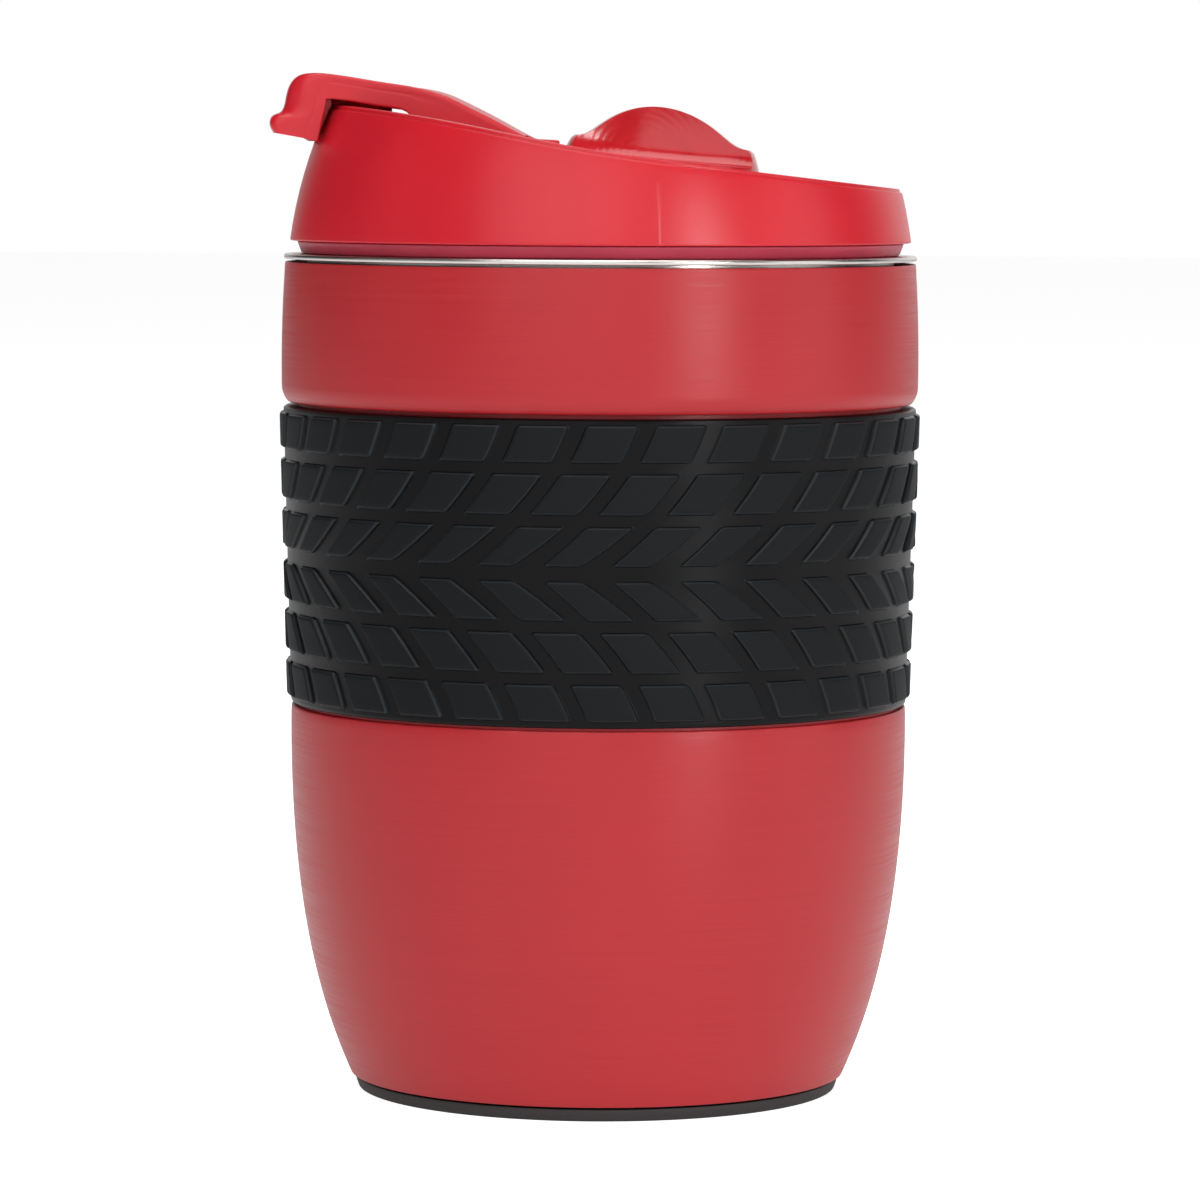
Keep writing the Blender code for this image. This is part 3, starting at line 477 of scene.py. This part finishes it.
def cut_away(piece, *cutters):
    """Cuts closed grids out of a piece for good."""
    for number, cutter in enumerate(cutters):
        tool = solid(f"tool_{number}", cutter)
        boolean = piece.modifiers.new(tool.name, "BOOLEAN")
        boolean.object = tool
        boolean.operation, boolean.use_self = "DIFFERENCE", True
    evaluated = piece.evaluated_get(bpy.context.evaluated_depsgraph_get())
    mesh = bpy.data.meshes.new_from_object(evaluated)
    for boolean in list(piece.modifiers):
        bpy.data.objects.remove(boolean.object)
    piece.modifiers.clear()
    piece.data = mesh
    mesh.shade_smooth()
    mesh.set_sharp_from_angle(angle=np.radians(50))


spout_cutter = [(0.0, 120 * MM), (4.6 * MM, 120 * MM), (4.6 * MM, 112.5 * MM), (3.5 * MM, 111.6 * MM)]
spout_cutter += [(3.5 * MM, 105 * MM), (0.0, 105 * MM)]
spout_profile = rounded(spout_cutter, np.array([0, 0, 0.3, 0.6, 0, 0]) * MM, [0] * 6, closed=False)
bore_profile = np.array([(0.0, 115 * MM), (3.4 * MM, 115 * MM), (3.4 * MM, 103 * MM), (0.0, 103 * MM)])
cut_away(lid, lathe(spout_profile, 64, (SPOUT_X, 0.0)), lathe(bore_profile, 48, (KNOB_X, 0.0)))

# Polypropylene: strong red, semi-gloss with a spark-eroded grain of about 0.05 mm, drawn at 0.2 mm
# so that it shows, and a little light goes into it.
lid_plastic, tree, shader = new_material("moulded_red_polypropylene", {"Roughness": 0.34, "IOR": 1.49})
shader.inputs["Subsurface Weight"].default_value = 0.25
shader.inputs["Subsurface Radius"].default_value = (1.0, 0.12, 0.1)
shader.inputs["Subsurface Scale"].default_value = 1.5 * MM
spot = add(tree, "TexCoord").outputs["Object"]
grain = add(tree, "TexNoise", {"Vector": spot, "Scale": 4500.0, "Detail": 2.0}).outputs["Fac"]
flow = add(tree, "TexNoise", {"Vector": spot, "Scale": 45.0, "Detail": 2.0, "Distortion": 0.6}).outputs["Fac"]
shade = add(tree, "Mix", {0: ramp(tree, flow, 0.3, 0.7, 0.0, 1.0)}, data_type="RGBA")
shade.inputs[6].default_value = linear("#c41526")
shade.inputs[7].default_value = linear("#cc1b2a")
tree.links.new(shade.outputs[2], shader.inputs["Base Color"])
tree.links.new(ramp(tree, grain, 0.3, 0.7, 0.31, 0.38), shader.inputs["Roughness"])
bump = add(tree, "Bump", {"Height": grain, "Strength": 0.12, "Distance": 0.02 * MM})
tree.links.new(bump.outputs["Normal"], shader.inputs["Normal"])
dress(lid, lid_plastic)
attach(lid, "lid")
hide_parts("lid_shell")

# ------------------------------------------------------------------------------------- hinge ears
# Two ears of the lid moulding that stand on the deck on both sides of the flap's knuckle, and the
# drawn steel pin through them.
HINGE_X, HINGE_Z = -8.0 * MM, 111.8 * MM
KNUCKLE_R, KNUCKLE_HALF = 1.7 * MM, 6.5 * MM
EAR_START = KNUCKLE_HALF + 0.3 * MM
EAR_END = EAR_START + 2.4 * MM


def plate(outline, low, high, soft, steps=5):
    """A side outline (n, 2) given thickness along Y, with both edges rolled over by `soft`:
    the outline shrinks towards its middle as it nears each face, on a quarter circle."""
    a = np.linspace(0, np.pi / 2, steps)
    inset = np.concatenate([[1e3], soft * (1 - np.sin(a)), soft * (1 - np.cos(a)), [1e3]])
    y = np.concatenate([[low], low + soft * (1 - np.cos(a)), high - soft * (1 - np.sin(a)), [high]])
    centre = outline.mean(axis=0)
    away = outline - centre
    size = np.linalg.norm(away, axis=1, keepdims=True)
    shrink = np.clip(1 - inset[:, None, None] / size, 0, None)
    xz = centre + away * shrink
    return np.stack([xz[..., 0], np.broadcast_to(y[:, None], xz.shape[:2]), xz[..., 1]], axis=-1)


ear_corners = [(HINGE_X - KNUCKLE_R, 109.5 * MM), (HINGE_X - KNUCKLE_R, HINGE_Z + KNUCKLE_R)]
ear_corners += [(-5.0 * MM, 113.3 * MM), (-5.0 * MM, 109.5 * MM)]
ear_outline = rounded(ear_corners, np.array([0, 1.5, 0.25, 0]) * MM, [3, 2, 3, 3], steps=8)
for name, side in (("near_ear", -1), ("far_ear", 1)):
    faces = sorted((side * EAR_START, side * EAR_END))
    ear = solid(name, plate(ear_outline, *faces, 0.2 * MM))
    dress(ear, lid_plastic)
    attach(ear, "lid")

pin_corners = [(0.0, EAR_END), (0.7 * MM, EAR_END), (0.7 * MM, -EAR_END), (0.0, -EAR_END)]
pin_profile = rounded(pin_corners, np.array([0, 0.15, 0.15, 0]) * MM, [1, 8, 1, 0], closed=False)
pin_grid = lathe(pin_profile, 32)
pin = solid("hinge_pin_rod", pin_grid[..., [0, 2, 1]] + (HINGE_X, 0.0, HINGE_Z))
dress(pin, steel)
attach(pin, "lid")
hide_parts("hinge_pin")

# ------------------------------------------------------------------------------------- lid plug
# The black polypropylene cup under the lid that fills the mouth. A bead at its foot keeps the
# gasket on, and its floor has a flow hole under the spout and a small air hole.
PLUG_LOW, PLUG_HIGH = (corner[2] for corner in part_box("lid_plug"))
plug_corners = [(0.0, PLUG_LOW + 1.5 * MM), (31.1 * MM, PLUG_LOW + 1.5 * MM), (31.1 * MM, PLUG_HIGH)]
plug_corners += [(35.0 * MM, PLUG_HIGH), (35.0 * MM, LID_LOW), (32.6 * MM, LID_LOW)]
plug_corners += [(32.6 * MM, PLUG_LOW + 1.6 * MM), (33.7 * MM, PLUG_LOW + 1.2 * MM)]
plug_corners += [(33.7 * MM, PLUG_LOW), (0.0, PLUG_LOW)]
plug_cuts = np.array([0, 1.0, 0.2, 0.2, 0.2, 0.2, 0.2, 0.3, 0.6, 0]) * MM
profile = rounded(plug_corners, plug_cuts, [16, 6, 2, 2, 2, 6, 0, 0, 16, 0], closed=False)
plug = solid("plug_moulding", lathe(profile, 192))
drills = []
for radius_mm, x in ((4.5, -22 * MM), (1.5, 24 * MM)):
    drill = [(0.0, PLUG_LOW + 4 * MM), (radius_mm * MM, PLUG_LOW + 4 * MM)]
    drill += [(radius_mm * MM, PLUG_LOW - 4 * MM), (0.0, PLUG_LOW - 4 * MM)]
    drills.append(lathe(np.array(drill), 48, (x, 0.0)))
cut_away(plug, *drills)

# Black polypropylene, matte, with the same fine mould grain as the lid.
black_plastic, tree, shader = new_material("moulded_black_polypropylene", {"IOR": 1.49})
spot = add(tree, "TexCoord").outputs["Object"]
grain = add(tree, "TexNoise", {"Vector": spot, "Scale": 4500.0, "Detail": 2.0}).outputs["Fac"]
shade = add(tree, "Mix", {0: grain}, data_type="RGBA")
shade.inputs[6].default_value = linear("#1b1b1c")
shade.inputs[7].default_value = linear("#232324")
tree.links.new(shade.outputs[2], shader.inputs["Base Color"])
tree.links.new(ramp(tree, grain, 0.3, 0.7, 0.38, 0.5), shader.inputs["Roughness"])
bump = add(tree, "Bump", {"Height": grain, "Strength": 0.15, "Distance": 0.02 * MM})
tree.links.new(bump.outputs["Normal"], shader.inputs["Normal"])
dress(plug, black_plastic)
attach(plug, "lid")
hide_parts("lid_plug")

# ------------------------------------------------------------------------------------- lid gasket
# A silicone sleeve stretched over the plug. Two soft ribs seal against the mouth, and its flange
# shows as a thin mauve band between the lid and the bright lip.
GASKET_LOW, GASKET_HIGH = (corner[2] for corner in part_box("lid_gasket"))
seat = LINER_TOP + 0.05 * MM
gasket_corners = [(32.7 * MM, GASKET_HIGH + 0.25 * MM), (36.15 * MM, GASKET_HIGH + 0.25 * MM)]
gasket_corners += [(35.6 * MM, seat), (33.7 * MM, seat)]
gasket_cuts, gasket_fills = [0.1, 0.25, 0.25, 0.2], [3, 2, 2, 1]
for height in (97.2 * MM, 94.0 * MM):
    gasket_corners += [(33.7 * MM, height + 0.8 * MM), (34.25 * MM, height), (33.7 * MM, height - 0.8 * MM)]
    gasket_cuts += [0.2, 0.25, 0.2]
    gasket_fills += [1, 1, 2]
gasket_corners += [(33.7 * MM, GASKET_LOW), (32.7 * MM, GASKET_LOW)]
profile = rounded(gasket_corners, np.array([*gasket_cuts, 0.2, 0.1]) * MM, [*gasket_fills, 1, 6])
gasket = solid("gasket_sleeve", lathe(profile, 256))

# Translucent silicone dyed mauve: light passes a millimetre into it, so it looks soft and deep.
mauve, tree, shader = new_material("translucent_mauve_silicone", {"Roughness": 0.38, "IOR": 1.41})
shader.inputs["Subsurface Weight"].default_value = 0.35
shader.inputs["Subsurface Radius"].default_value = (1.0, 0.45, 0.55)
shader.inputs["Subsurface Scale"].default_value = 1.0 * MM
spot = add(tree, "TexCoord").outputs["Object"]
cloud = add(tree, "TexNoise", {"Vector": spot, "Scale": 150.0, "Detail": 3.0}).outputs["Fac"]
shade = add(tree, "Mix", {0: cloud}, data_type="RGBA")
shade.inputs[6].default_value = linear("#b23549")
shade.inputs[7].default_value = linear("#c8455b")
tree.links.new(shade.outputs[2], shader.inputs["Base Color"])
bump = add(tree, "Bump", {"Height": cloud, "Strength": 0.1, "Distance": 0.1 * MM})
tree.links.new(bump.outputs["Normal"], shader.inputs["Normal"])
dress(gasket, mauve)
dress(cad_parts["shutter_seal"], mauve)
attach(gasket, "lid")
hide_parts("lid_gasket")

# ------------------------------------------------------------------------------------- drinking flap
# The red cover of the drinking hole, a moulding with thin walls. It runs up from the hinge, levels
# out, and hooks down outside the rim, where its lower edge turns out as a lip for a fingertip.
FLAP_HALF = 10.7 * MM
# Stations from hinge to fingertip lip, in millimetres: the top edge (x, z), the under edge (x, z),
# the softness of the top corners, the crown of the top, the depth of the hollow from below.
stations = np.array(
    [
        (-7.0, 112.9, -8.6, 111.2, 0.3, 0.0, 0.0),
        (-7.6, 113.2, -9.4, 111.0, 0.4, 0.2, 0.0),
        (-9.4, 113.9, -10.4, 111.1, 0.5, 0.35, 0.0),
        (-12.5, 115.55, -12.2, 111.3, 0.6, 0.5, 0.3),
        (-15.4, 116.95, -15.0, 111.5, 0.6, 0.55, 3.6),
        (-18.2, 118.35, -18.0, 111.8, 0.5, 0.45, 4.9),
        (-20.6, 119.1, -20.5, 112.0, 0.35, 0.2, 5.4),
        (-22.0, 119.4, -21.9, 112.1, 0.3, 0.05, 5.6),
        (-22.4, 119.5, -22.1, 115.8, 0.3, 0.0, 2.1),
        (-23.4, 119.65, -23.1, 116.75, 0.3, 0.0, 1.3),
        (-25.5, 119.95, -25.3, 117.05, 0.3, 0.0, 1.3),
        (-28.5, 120.4, -28.3, 117.4, 0.3, 0.0, 1.3),
        (-31.6, 120.8, -31.6, 117.8, 0.35, 0.0, 1.2),
        (-33.8, 121.05, -33.5, 118.0, 0.5, 0.0, 0.6),
        (-35.6, 120.95, -34.0, 117.9, 1.2, 0.0, 0.1),
        (-36.5, 120.4, -34.0, 117.5, 1.8, 0.0, 0.0),
        (-37.1, 119.5, -34.05, 117.0, 2.3, 0.0, 0.0),
        (-37.4, 118.4, -34.15, 116.5, 2.5, 0.0, 0.0),
        (-37.6, 117.2, -34.3, 115.8, 2.4, 0.0, 0.0),
        (-38.0, 116.4, -34.4, 115.2, 2.0, 0.0, 0.0),
        (-39.0, 116.1, -34.5, 114.7, 1.4, 0.0, 0.0),
        (-39.35, 115.5, -34.6, 114.2, 1.0, 0.0, 0.0),
        (-39.35, 114.8, -34.7, 113.7, 0.9, 0.0, 0.0),
        (-38.9, 114.0, -34.85, 113.05, 0.6, 0.0, 0.0),
    ]
) * MM
for _ in range(3):
    before, after = stations[:-1], stations[1:]
    inner = np.stack([0.75 * before + 0.25 * after, 0.25 * before + 0.75 * after], axis=1)
    stations = np.concatenate([stations[:1], inner.reshape(-1, 7), stations[-1:]])
top_edge, under_edge = stations[:, None, 0:2], stations[:, None, 2:4]
soft, crown, hollow = stations[:, 4], stations[:, 5], stations[:, 6]
tall = np.linalg.norm(top_edge - under_edge, axis=-1)[:, 0]
half = np.full_like(tall, FLAP_HALF)
skin, low = 1.5 * MM, np.zeros_like(tall)
inner_half = half - skin
section = [(half, low), (half, tall), (-half, tall), (-half, low)]
section += [(-inner_half, low), (-inner_half, hollow), (inner_half, hollow), (inner_half, low)]
section = np.stack([np.stack(point, axis=-1) for point in section], axis=1)
nick = np.minimum(0.25 * MM, 0.4 * hollow + 1e-6)
section_cuts = np.stack([low + 0.25 * MM, soft, soft, low + 0.25 * MM, nick, nick, nick, nick], axis=1)
loop = rounded(section, section_cuts, [26, 20, 26, 0, 2, 12, 2, 0], steps=6)
across, up = loop[..., 0], loop[..., 1]
share_up = up / tall[:, None]
over = np.clip((share_up - 0.75) * 4, 0, 1)
up = up + over * crown[:, None] * (1 - (across / FLAP_HALF) ** 2)
# A fine line runs along the side faces, 1 mm under the top edge and then down the hook's inner edge.
top_x = stations[:, 0]
on_hook = np.interp(top_x, np.array([-35.6, -33.8]) * MM, [0.27, 0.62])
line_at = np.where(top_x < -33 * MM, 0, 1 - 1.0 * MM / tall)
line_at = np.where(top_x < -33.8 * MM, on_hook, line_at)
fade = np.clip((-18 * MM - top_x) / (3 * MM), 0, 1)[:, None]
line = 0.035 * MM * fade * np.exp(-(((share_up - line_at[:, None]) * tall[:, None] / (0.13 * MM)) ** 2))
across = across - np.sign(across) * line * (np.abs(across) > FLAP_HALF - 0.01 * MM)
place = under_edge + (top_edge - under_edge) * (up / tall[:, None])[..., None]
# The hook follows the round wall: the further from the middle, the further back it lies. Its outer
# face and lip are flatter in plan than its inner face.
x = place[..., 0]
bend = np.clip((-26 * MM - x) / (7 * MM), 0, 1)
bend = bend * bend * (3 - 2 * bend) * (1 - 0.6 * share_up)
x = x + bend * (np.abs(x) - np.sqrt(np.maximum(x**2 - across**2, 0)))
flap_grid = np.stack([x, across, place[..., 1]], axis=-1)
caps = [np.broadcast_to(ring.mean(axis=0), ring.shape)[None] for ring in (flap_grid[0], flap_grid[-1])]
flap_grid = np.concatenate([caps[0], flap_grid, caps[1]])

knuckle_corners = [(0.0, KNUCKLE_HALF), (KNUCKLE_R, KNUCKLE_HALF)]
knuckle_corners += [(KNUCKLE_R, -KNUCKLE_HALF), (0.0, -KNUCKLE_HALF)]
knuckle_profile = rounded(knuckle_corners, np.array([0, 0.25, 0.25, 0]) * MM, [2, 8, 2, 0], closed=False)
knuckle_grid = lathe(knuckle_profile, 48)[..., [0, 2, 1]] + (HINGE_X, 0.0, HINGE_Z)
BOSS_R, BOSS_LOW = 3.1 * MM, 113.5 * MM
boss_corners = [(0.0, 119.8 * MM), (BOSS_R, 119.8 * MM), (BOSS_R, BOSS_LOW), (0.0, BOSS_LOW)]
boss_profile = rounded(boss_corners, np.array([0, 0, 0.3, 0]) * MM, [1, 6, 1, 0], closed=False)
rib_corners = [(-34.4, 119.5), (-34.4, 117.36), (-31.3, 117.34), (-29.3, 117.1), (-29.2, 116.5)]
rib_corners += [(-28.0, 116.5), (-28.0, 119.5)]
rib_outline = rounded(np.array(rib_corners) * MM, 0.05 * MM, [2, 4, 2, 2, 2, 2, 4])
rib = plate(rib_outline, -2.0 * MM, 2.0 * MM, 0.1 * MM)
# A pad inside the hook fills the room between it and the lid's wall, but for a clearance of 0.35 mm.
pad_turn = np.radians(np.concatenate([[-13.5], np.linspace(-13.5, 13.5, 25), [13.5]]))
pad_z = np.linspace(113.9, 118.2, 11) * MM
pad_inner = np.stack([lid_radius(np.minimum(pad_z, 117.3 * MM)) + 0.35 * MM, pad_z], axis=1)
pad_back = np.interp(pad_z, [113 * MM, 118 * MM], [36.6 * MM, 36.2 * MM])
pad_outer = np.stack([pad_back, pad_z], axis=1)[::-1]
pad_loop = np.concatenate([pad_inner, pad_outer, pad_inner[:1]])
pad_loop = np.broadcast_to(pad_loop, (len(pad_turn), *pad_loop.shape)).copy()
pad_loop[[0, -1]] = pad_loop[0].mean(axis=0)
pad = lathe(pad_loop, pad_turn + np.pi)
flap = solid("flap_cover", flap_grid, knuckle_grid, lathe(boss_profile, 48, (SPOUT_X, 0.0)), rib, pad)
# Room for the ears at both sides of the knuckle, and the pin's bore through it.
half_room = [(0.0, 12 * MM), (2.2 * MM, 12 * MM), (2.2 * MM, KNUCKLE_HALF), (0.75 * MM, KNUCKLE_HALF)]
room = np.concatenate([half_room, np.array(half_room[::-1]) * (1, -1)])
cut_away(flap, lathe(room, 48)[..., [0, 2, 1]] + (HINGE_X, 0.0, HINGE_Z))
dress(flap, lid_plastic)
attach(flap, "flap")
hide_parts("drinking_flap")

# ------------------------------------------------------------------------------------- stopper
# The soft plug under the flap's boss: a stem pressed into the boss and a head with a rounded edge
# that closes the drinking hole.
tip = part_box("flap_stopper")[0][2]
stopper_corners = [(0.0, 115.5 * MM), (1.5 * MM, 115.5 * MM), (1.5 * MM, 113.45 * MM)]
stopper_corners += [(3.1 * MM, 113.45 * MM), (3.1 * MM, 112.0 * MM), (2.8 * MM, tip), (0.0, tip)]
stopper_cuts = np.array([0, 0.2, 0.1, 0.25, 0.3, 0.45, 0]) * MM
profile = rounded(stopper_corners, stopper_cuts, [1, 2, 1, 2, 2, 4, 0], closed=False)
stopper = solid("stopper_plug", lathe(profile, 64, (SPOUT_X, 0.0)))
dress(stopper, silicone)
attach(stopper, "flap")
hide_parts("flap_stopper")

# ------------------------------------------------------------------------------------- vent knob
# The knob that works the air vent, a high-gloss ABS moulding: a dome with a deep finger scoop on
# each side, which leaves a thin ridge to turn it by, on a flange whose wall flares downwards.
DOME_R, KNOB_TOP, FLANGE_TOP = 11.0 * MM, 8.3 * MM, 4.2 * MM
SCOOP_REACH, SCOOP_Y, SCOOP_DEPTH = 30.0 * MM, 31.0 * MM, 2.4 * MM
SCOOP_TOP, SCOOP_DROP = 8.9 * MM, 7.0 * MM

spin = np.linspace(0, 2 * np.pi, 257)[:, None]
ring = np.concatenate([np.linspace(0, 10.3, 44), [10.45, 10.56]]) * MM
px, py = ring * np.cos(spin), ring * np.sin(spin)
# The ridge's crest lies 0.7 mm nearer the flap than the flange's middle.
shift = 0.7 * MM * np.clip(1 - (ring / (10.5 * MM)) ** 2, 0, 1)
from_crest = np.hypot(px + shift, py)
dome = KNOB_TOP - DOME_R + np.sqrt(DOME_R**2 - np.minimum(from_crest, 10.9 * MM) ** 2)
flange = FLANGE_TOP - 0.1 * MM - (ring / (10.3 * MM) - 1) * 0.5 * MM + 0 * dome
# Dome and flange meet in a soft hollow: the log of a sum of both.
surface = 0.8 * MM * np.logaddexp(dome / (0.8 * MM), flange / (0.8 * MM))
top_rows = np.stack([np.broadcast_to(ring, surface.shape), surface], axis=-1)
lip_z = surface[:, -1:, None]
foot_z = 0.4 * MM
down = np.linspace(0, 1, 9)[None, :, None]
side_z = (lip_z - 0.35 * MM) * (1 - down) + foot_z * down
side_r = 10.75 * MM + 1.15 * MM * np.sin(np.pi / 2 * (FLANGE_TOP - side_z) / (FLANGE_TOP - foot_z))
side_rows = np.concatenate([side_r, side_z], axis=-1)
edge_rows = np.concatenate([np.full_like(lip_z, 10.68 * MM), lip_z - 0.12 * MM], axis=-1)
below = [(11.3 * MM, 0.3 * MM), (10.0 * MM, 0.4 * MM), (10.0 * MM, 0.9 * MM), (4.5 * MM, 0.9 * MM)]
below += [(4.5 * MM, 0.4 * MM), (3.0 * MM, 0.4 * MM), (3.0 * MM, -4.9 * MM), (0.0, -4.9 * MM)]
below = np.broadcast_to(np.array(below), (len(spin), 8, 2))
knob_rows = np.concatenate([top_rows, edge_rows, side_rows, below], axis=1)
knob = solid("knob_moulding", lathe(knob_rows, spin[:, 0]))

# A scoop is a bowl turned about an upright axis beside the knob. Its side is upright at SCOOP_TOP and
# curves in to the floor along a cubic ellipse. Faint marks of the cutter that made the mould are rings
# 0.8 mm apart round a point low on the side.
fine = np.radians(np.linspace(-26, 26, 241))
scoop_turn = np.concatenate([fine, np.radians(np.arange(40, 330, 10)), fine[:1] + 2 * np.pi])[:, None]
wall_z = SCOOP_TOP - SCOOP_DROP * np.sin(np.linspace(0, np.pi / 2, 49)) ** 1.5
inward = 1 - (1 - ((SCOOP_TOP - wall_z) / SCOOP_DROP) ** 3) ** (1 / 3)
wall_x = -SCOOP_REACH * np.sin(scoop_turn)
ringed = np.hypot(wall_x + 2.6 * MM, wall_z - 1.8 * MM)
wall_r = SCOOP_REACH - SCOOP_DEPTH * inward + 0.004 * MM * np.cos(2 * np.pi * ringed / (0.8 * MM))
above = np.broadcast_to([(0.0, 12 * MM), (SCOOP_REACH, 12 * MM)], (len(scoop_turn), 2, 2))
floor_end = np.broadcast_to([(0.0, SCOOP_TOP - SCOOP_DROP)], (len(scoop_turn), 1, 2))
wall_rows = np.stack([wall_r, np.broadcast_to(wall_z, wall_r.shape)], axis=-1)
bowl = lathe(np.concatenate([above, wall_rows, floor_end], axis=1), scoop_turn[:, 0] + np.pi / 2)
cut_away(knob, bowl - (0, SCOOP_Y, 0), (bowl - (0, SCOOP_Y, 0)) * (1, -1, 1))
knob.data.transform(Matrix.Translation((KNOB_X, 0.0, DECK_Z)) @ Matrix.Rotation(np.radians(5), 4, "Y"))

# High-gloss ABS: deep clear red with a sharp reflection, faint flow marks in the colour.
abs_red, tree, shader = new_material("glossy_red_abs", {"IOR": 1.5})
spot = add(tree, "TexCoord").outputs["Object"]
flowing = {"Vector": spot, "Scale": 160.0, "Detail": 2.0, "Distortion": 1.0}
flow = add(tree, "TexNoise", flowing).outputs["Fac"]
shade = add(tree, "Mix", {0: ramp(tree, flow, 0.3, 0.7, 0.0, 1.0)}, data_type="RGBA")
shade.inputs[6].default_value = linear("#bb1923")
shade.inputs[7].default_value = linear("#c5202a")
tree.links.new(shade.outputs[2], shader.inputs["Base Color"])
tree.links.new(ramp(tree, flow, 0.3, 0.7, 0.13, 0.19), shader.inputs["Roughness"])
dress(knob, abs_red)
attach(knob, "knob")
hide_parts("vent_knob")
dress(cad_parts["vent_shutter"], black_plastic)
dress(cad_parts["knob_o_ring"], silicone)
dress(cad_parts["knob_washer"], steel)
dress(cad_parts["knob_screw"], steel)

# ------------------------------------------------------------------------------------- studio
# A pale floor, a white surround that is bright behind the mug, and soft lamps: a wide one in front, a
# tall narrow one to the right of the camera, one at each side and a broad one overhead.
floor_mesh = bpy.data.meshes.new("studio_floor")
floor_mesh.from_pydata([(-6, -6, 0), (6, -6, 0), (6, 6, 0), (-6, 6, 0)], [], [(0, 1, 2, 3)])
floor = bpy.data.objects.new("studio_floor", floor_mesh)
bpy.context.scene.collection.objects.link(floor)
pale, tree, shader = new_material("pale_paper_floor", {"Base Color": (0.9, 0.9, 0.9, 1), "Roughness": 0.9})
shader.inputs["Emission Color"].default_value = (1, 1, 1, 1)
shader.inputs["Emission Strength"].default_value = 0.3
glow = add(tree, "Mix", {0: add(tree, "LightPath").outputs["Is Camera Ray"], 2: 0.3, 3: 0.85}).outputs[0]
tree.links.new(glow, shader.inputs["Emission Strength"])
dress(floor, pale)

world = bpy.data.worlds.new("studio_surround")
bpy.context.scene.world = world
world.use_nodes = True
tree = world.node_tree
lamp = tree.nodes["Background"]
facing = {0: add(tree, "TexCoord").outputs["Generated"], 1: (0.26, 0.966, 0.0)}
backwards = add(tree, "VectorMath", facing, operation="DOT_PRODUCT").outputs["Value"]
behind = ramp(tree, backwards, 0.66, 0.94, 0.05, 1.0)
seen = add(tree, "LightPath").outputs["Is Camera Ray"]
strength = add(tree, "Mix", {0: seen, 2: behind, 3: 1.0}).outputs[0]
lamp.inputs["Color"].default_value = (1, 1, 1, 1)
tree.links.new(strength, lamp.inputs["Strength"])

target = Matrix.Translation((0, 0, 60 * MM))


def soft_lamp(name, turn_deg, height_deg, distance, width, height, power):
    """A rectangular lamp aimed at the mug; turn 0 is the camera's side and grows towards +X."""
    light = bpy.data.lights.new(name, "AREA")
    light.shape = "RECTANGLE"
    light.size, light.size_y = width, height
    light.energy = power
    lamp_object = bpy.data.objects.new(name, light)
    aim = Matrix.Rotation(np.radians(turn_deg), 4, "Z") @ Matrix.Rotation(np.radians(90 - height_deg), 4, "X")
    lamp_object.matrix_world = target @ aim @ Matrix.Translation((0, 0, distance))
    bpy.context.scene.collection.objects.link(lamp_object)


soft_lamp("front_softbox", -15, 24, 1.3, 1.3, 0.9, 6.2)
soft_lamp("strip_softbox", 37, 6, 1.2, 0.12, 0.9, 5.7)
soft_lamp("side_softbox", 78, 12, 1.3, 0.7, 0.9, 2.4)
soft_lamp("left_softbox", -80, 12, 1.3, 0.9, 0.9, 0.5)
soft_lamp("top_softbox", 0, 78, 1.2, 1.0, 1.0, 11)

# The camera looks level at the lid and slightly down at the foot, through a long lens.
lens = bpy.data.cameras.new("studio_camera")
lens.sensor_width = 36.0
lens.lens = 176.35
lens.clip_start = 0.05
camera = bpy.data.objects.new("studio_camera", lens)
pitch, roll = np.radians(90 - 4.314), np.radians(0.288)
camera.matrix_world = (
    Matrix.Translation((0.14 * MM, -702.33 * MM, 111.39 * MM))
    @ Matrix.Rotation(pitch, 4, "X")
    @ Matrix.Rotation(roll, 4, "Z")
)
bpy.context.scene.collection.objects.link(camera)
bpy.context.scene.camera = camera
bpy.context.scene.view_settings.view_transform = "Standard"
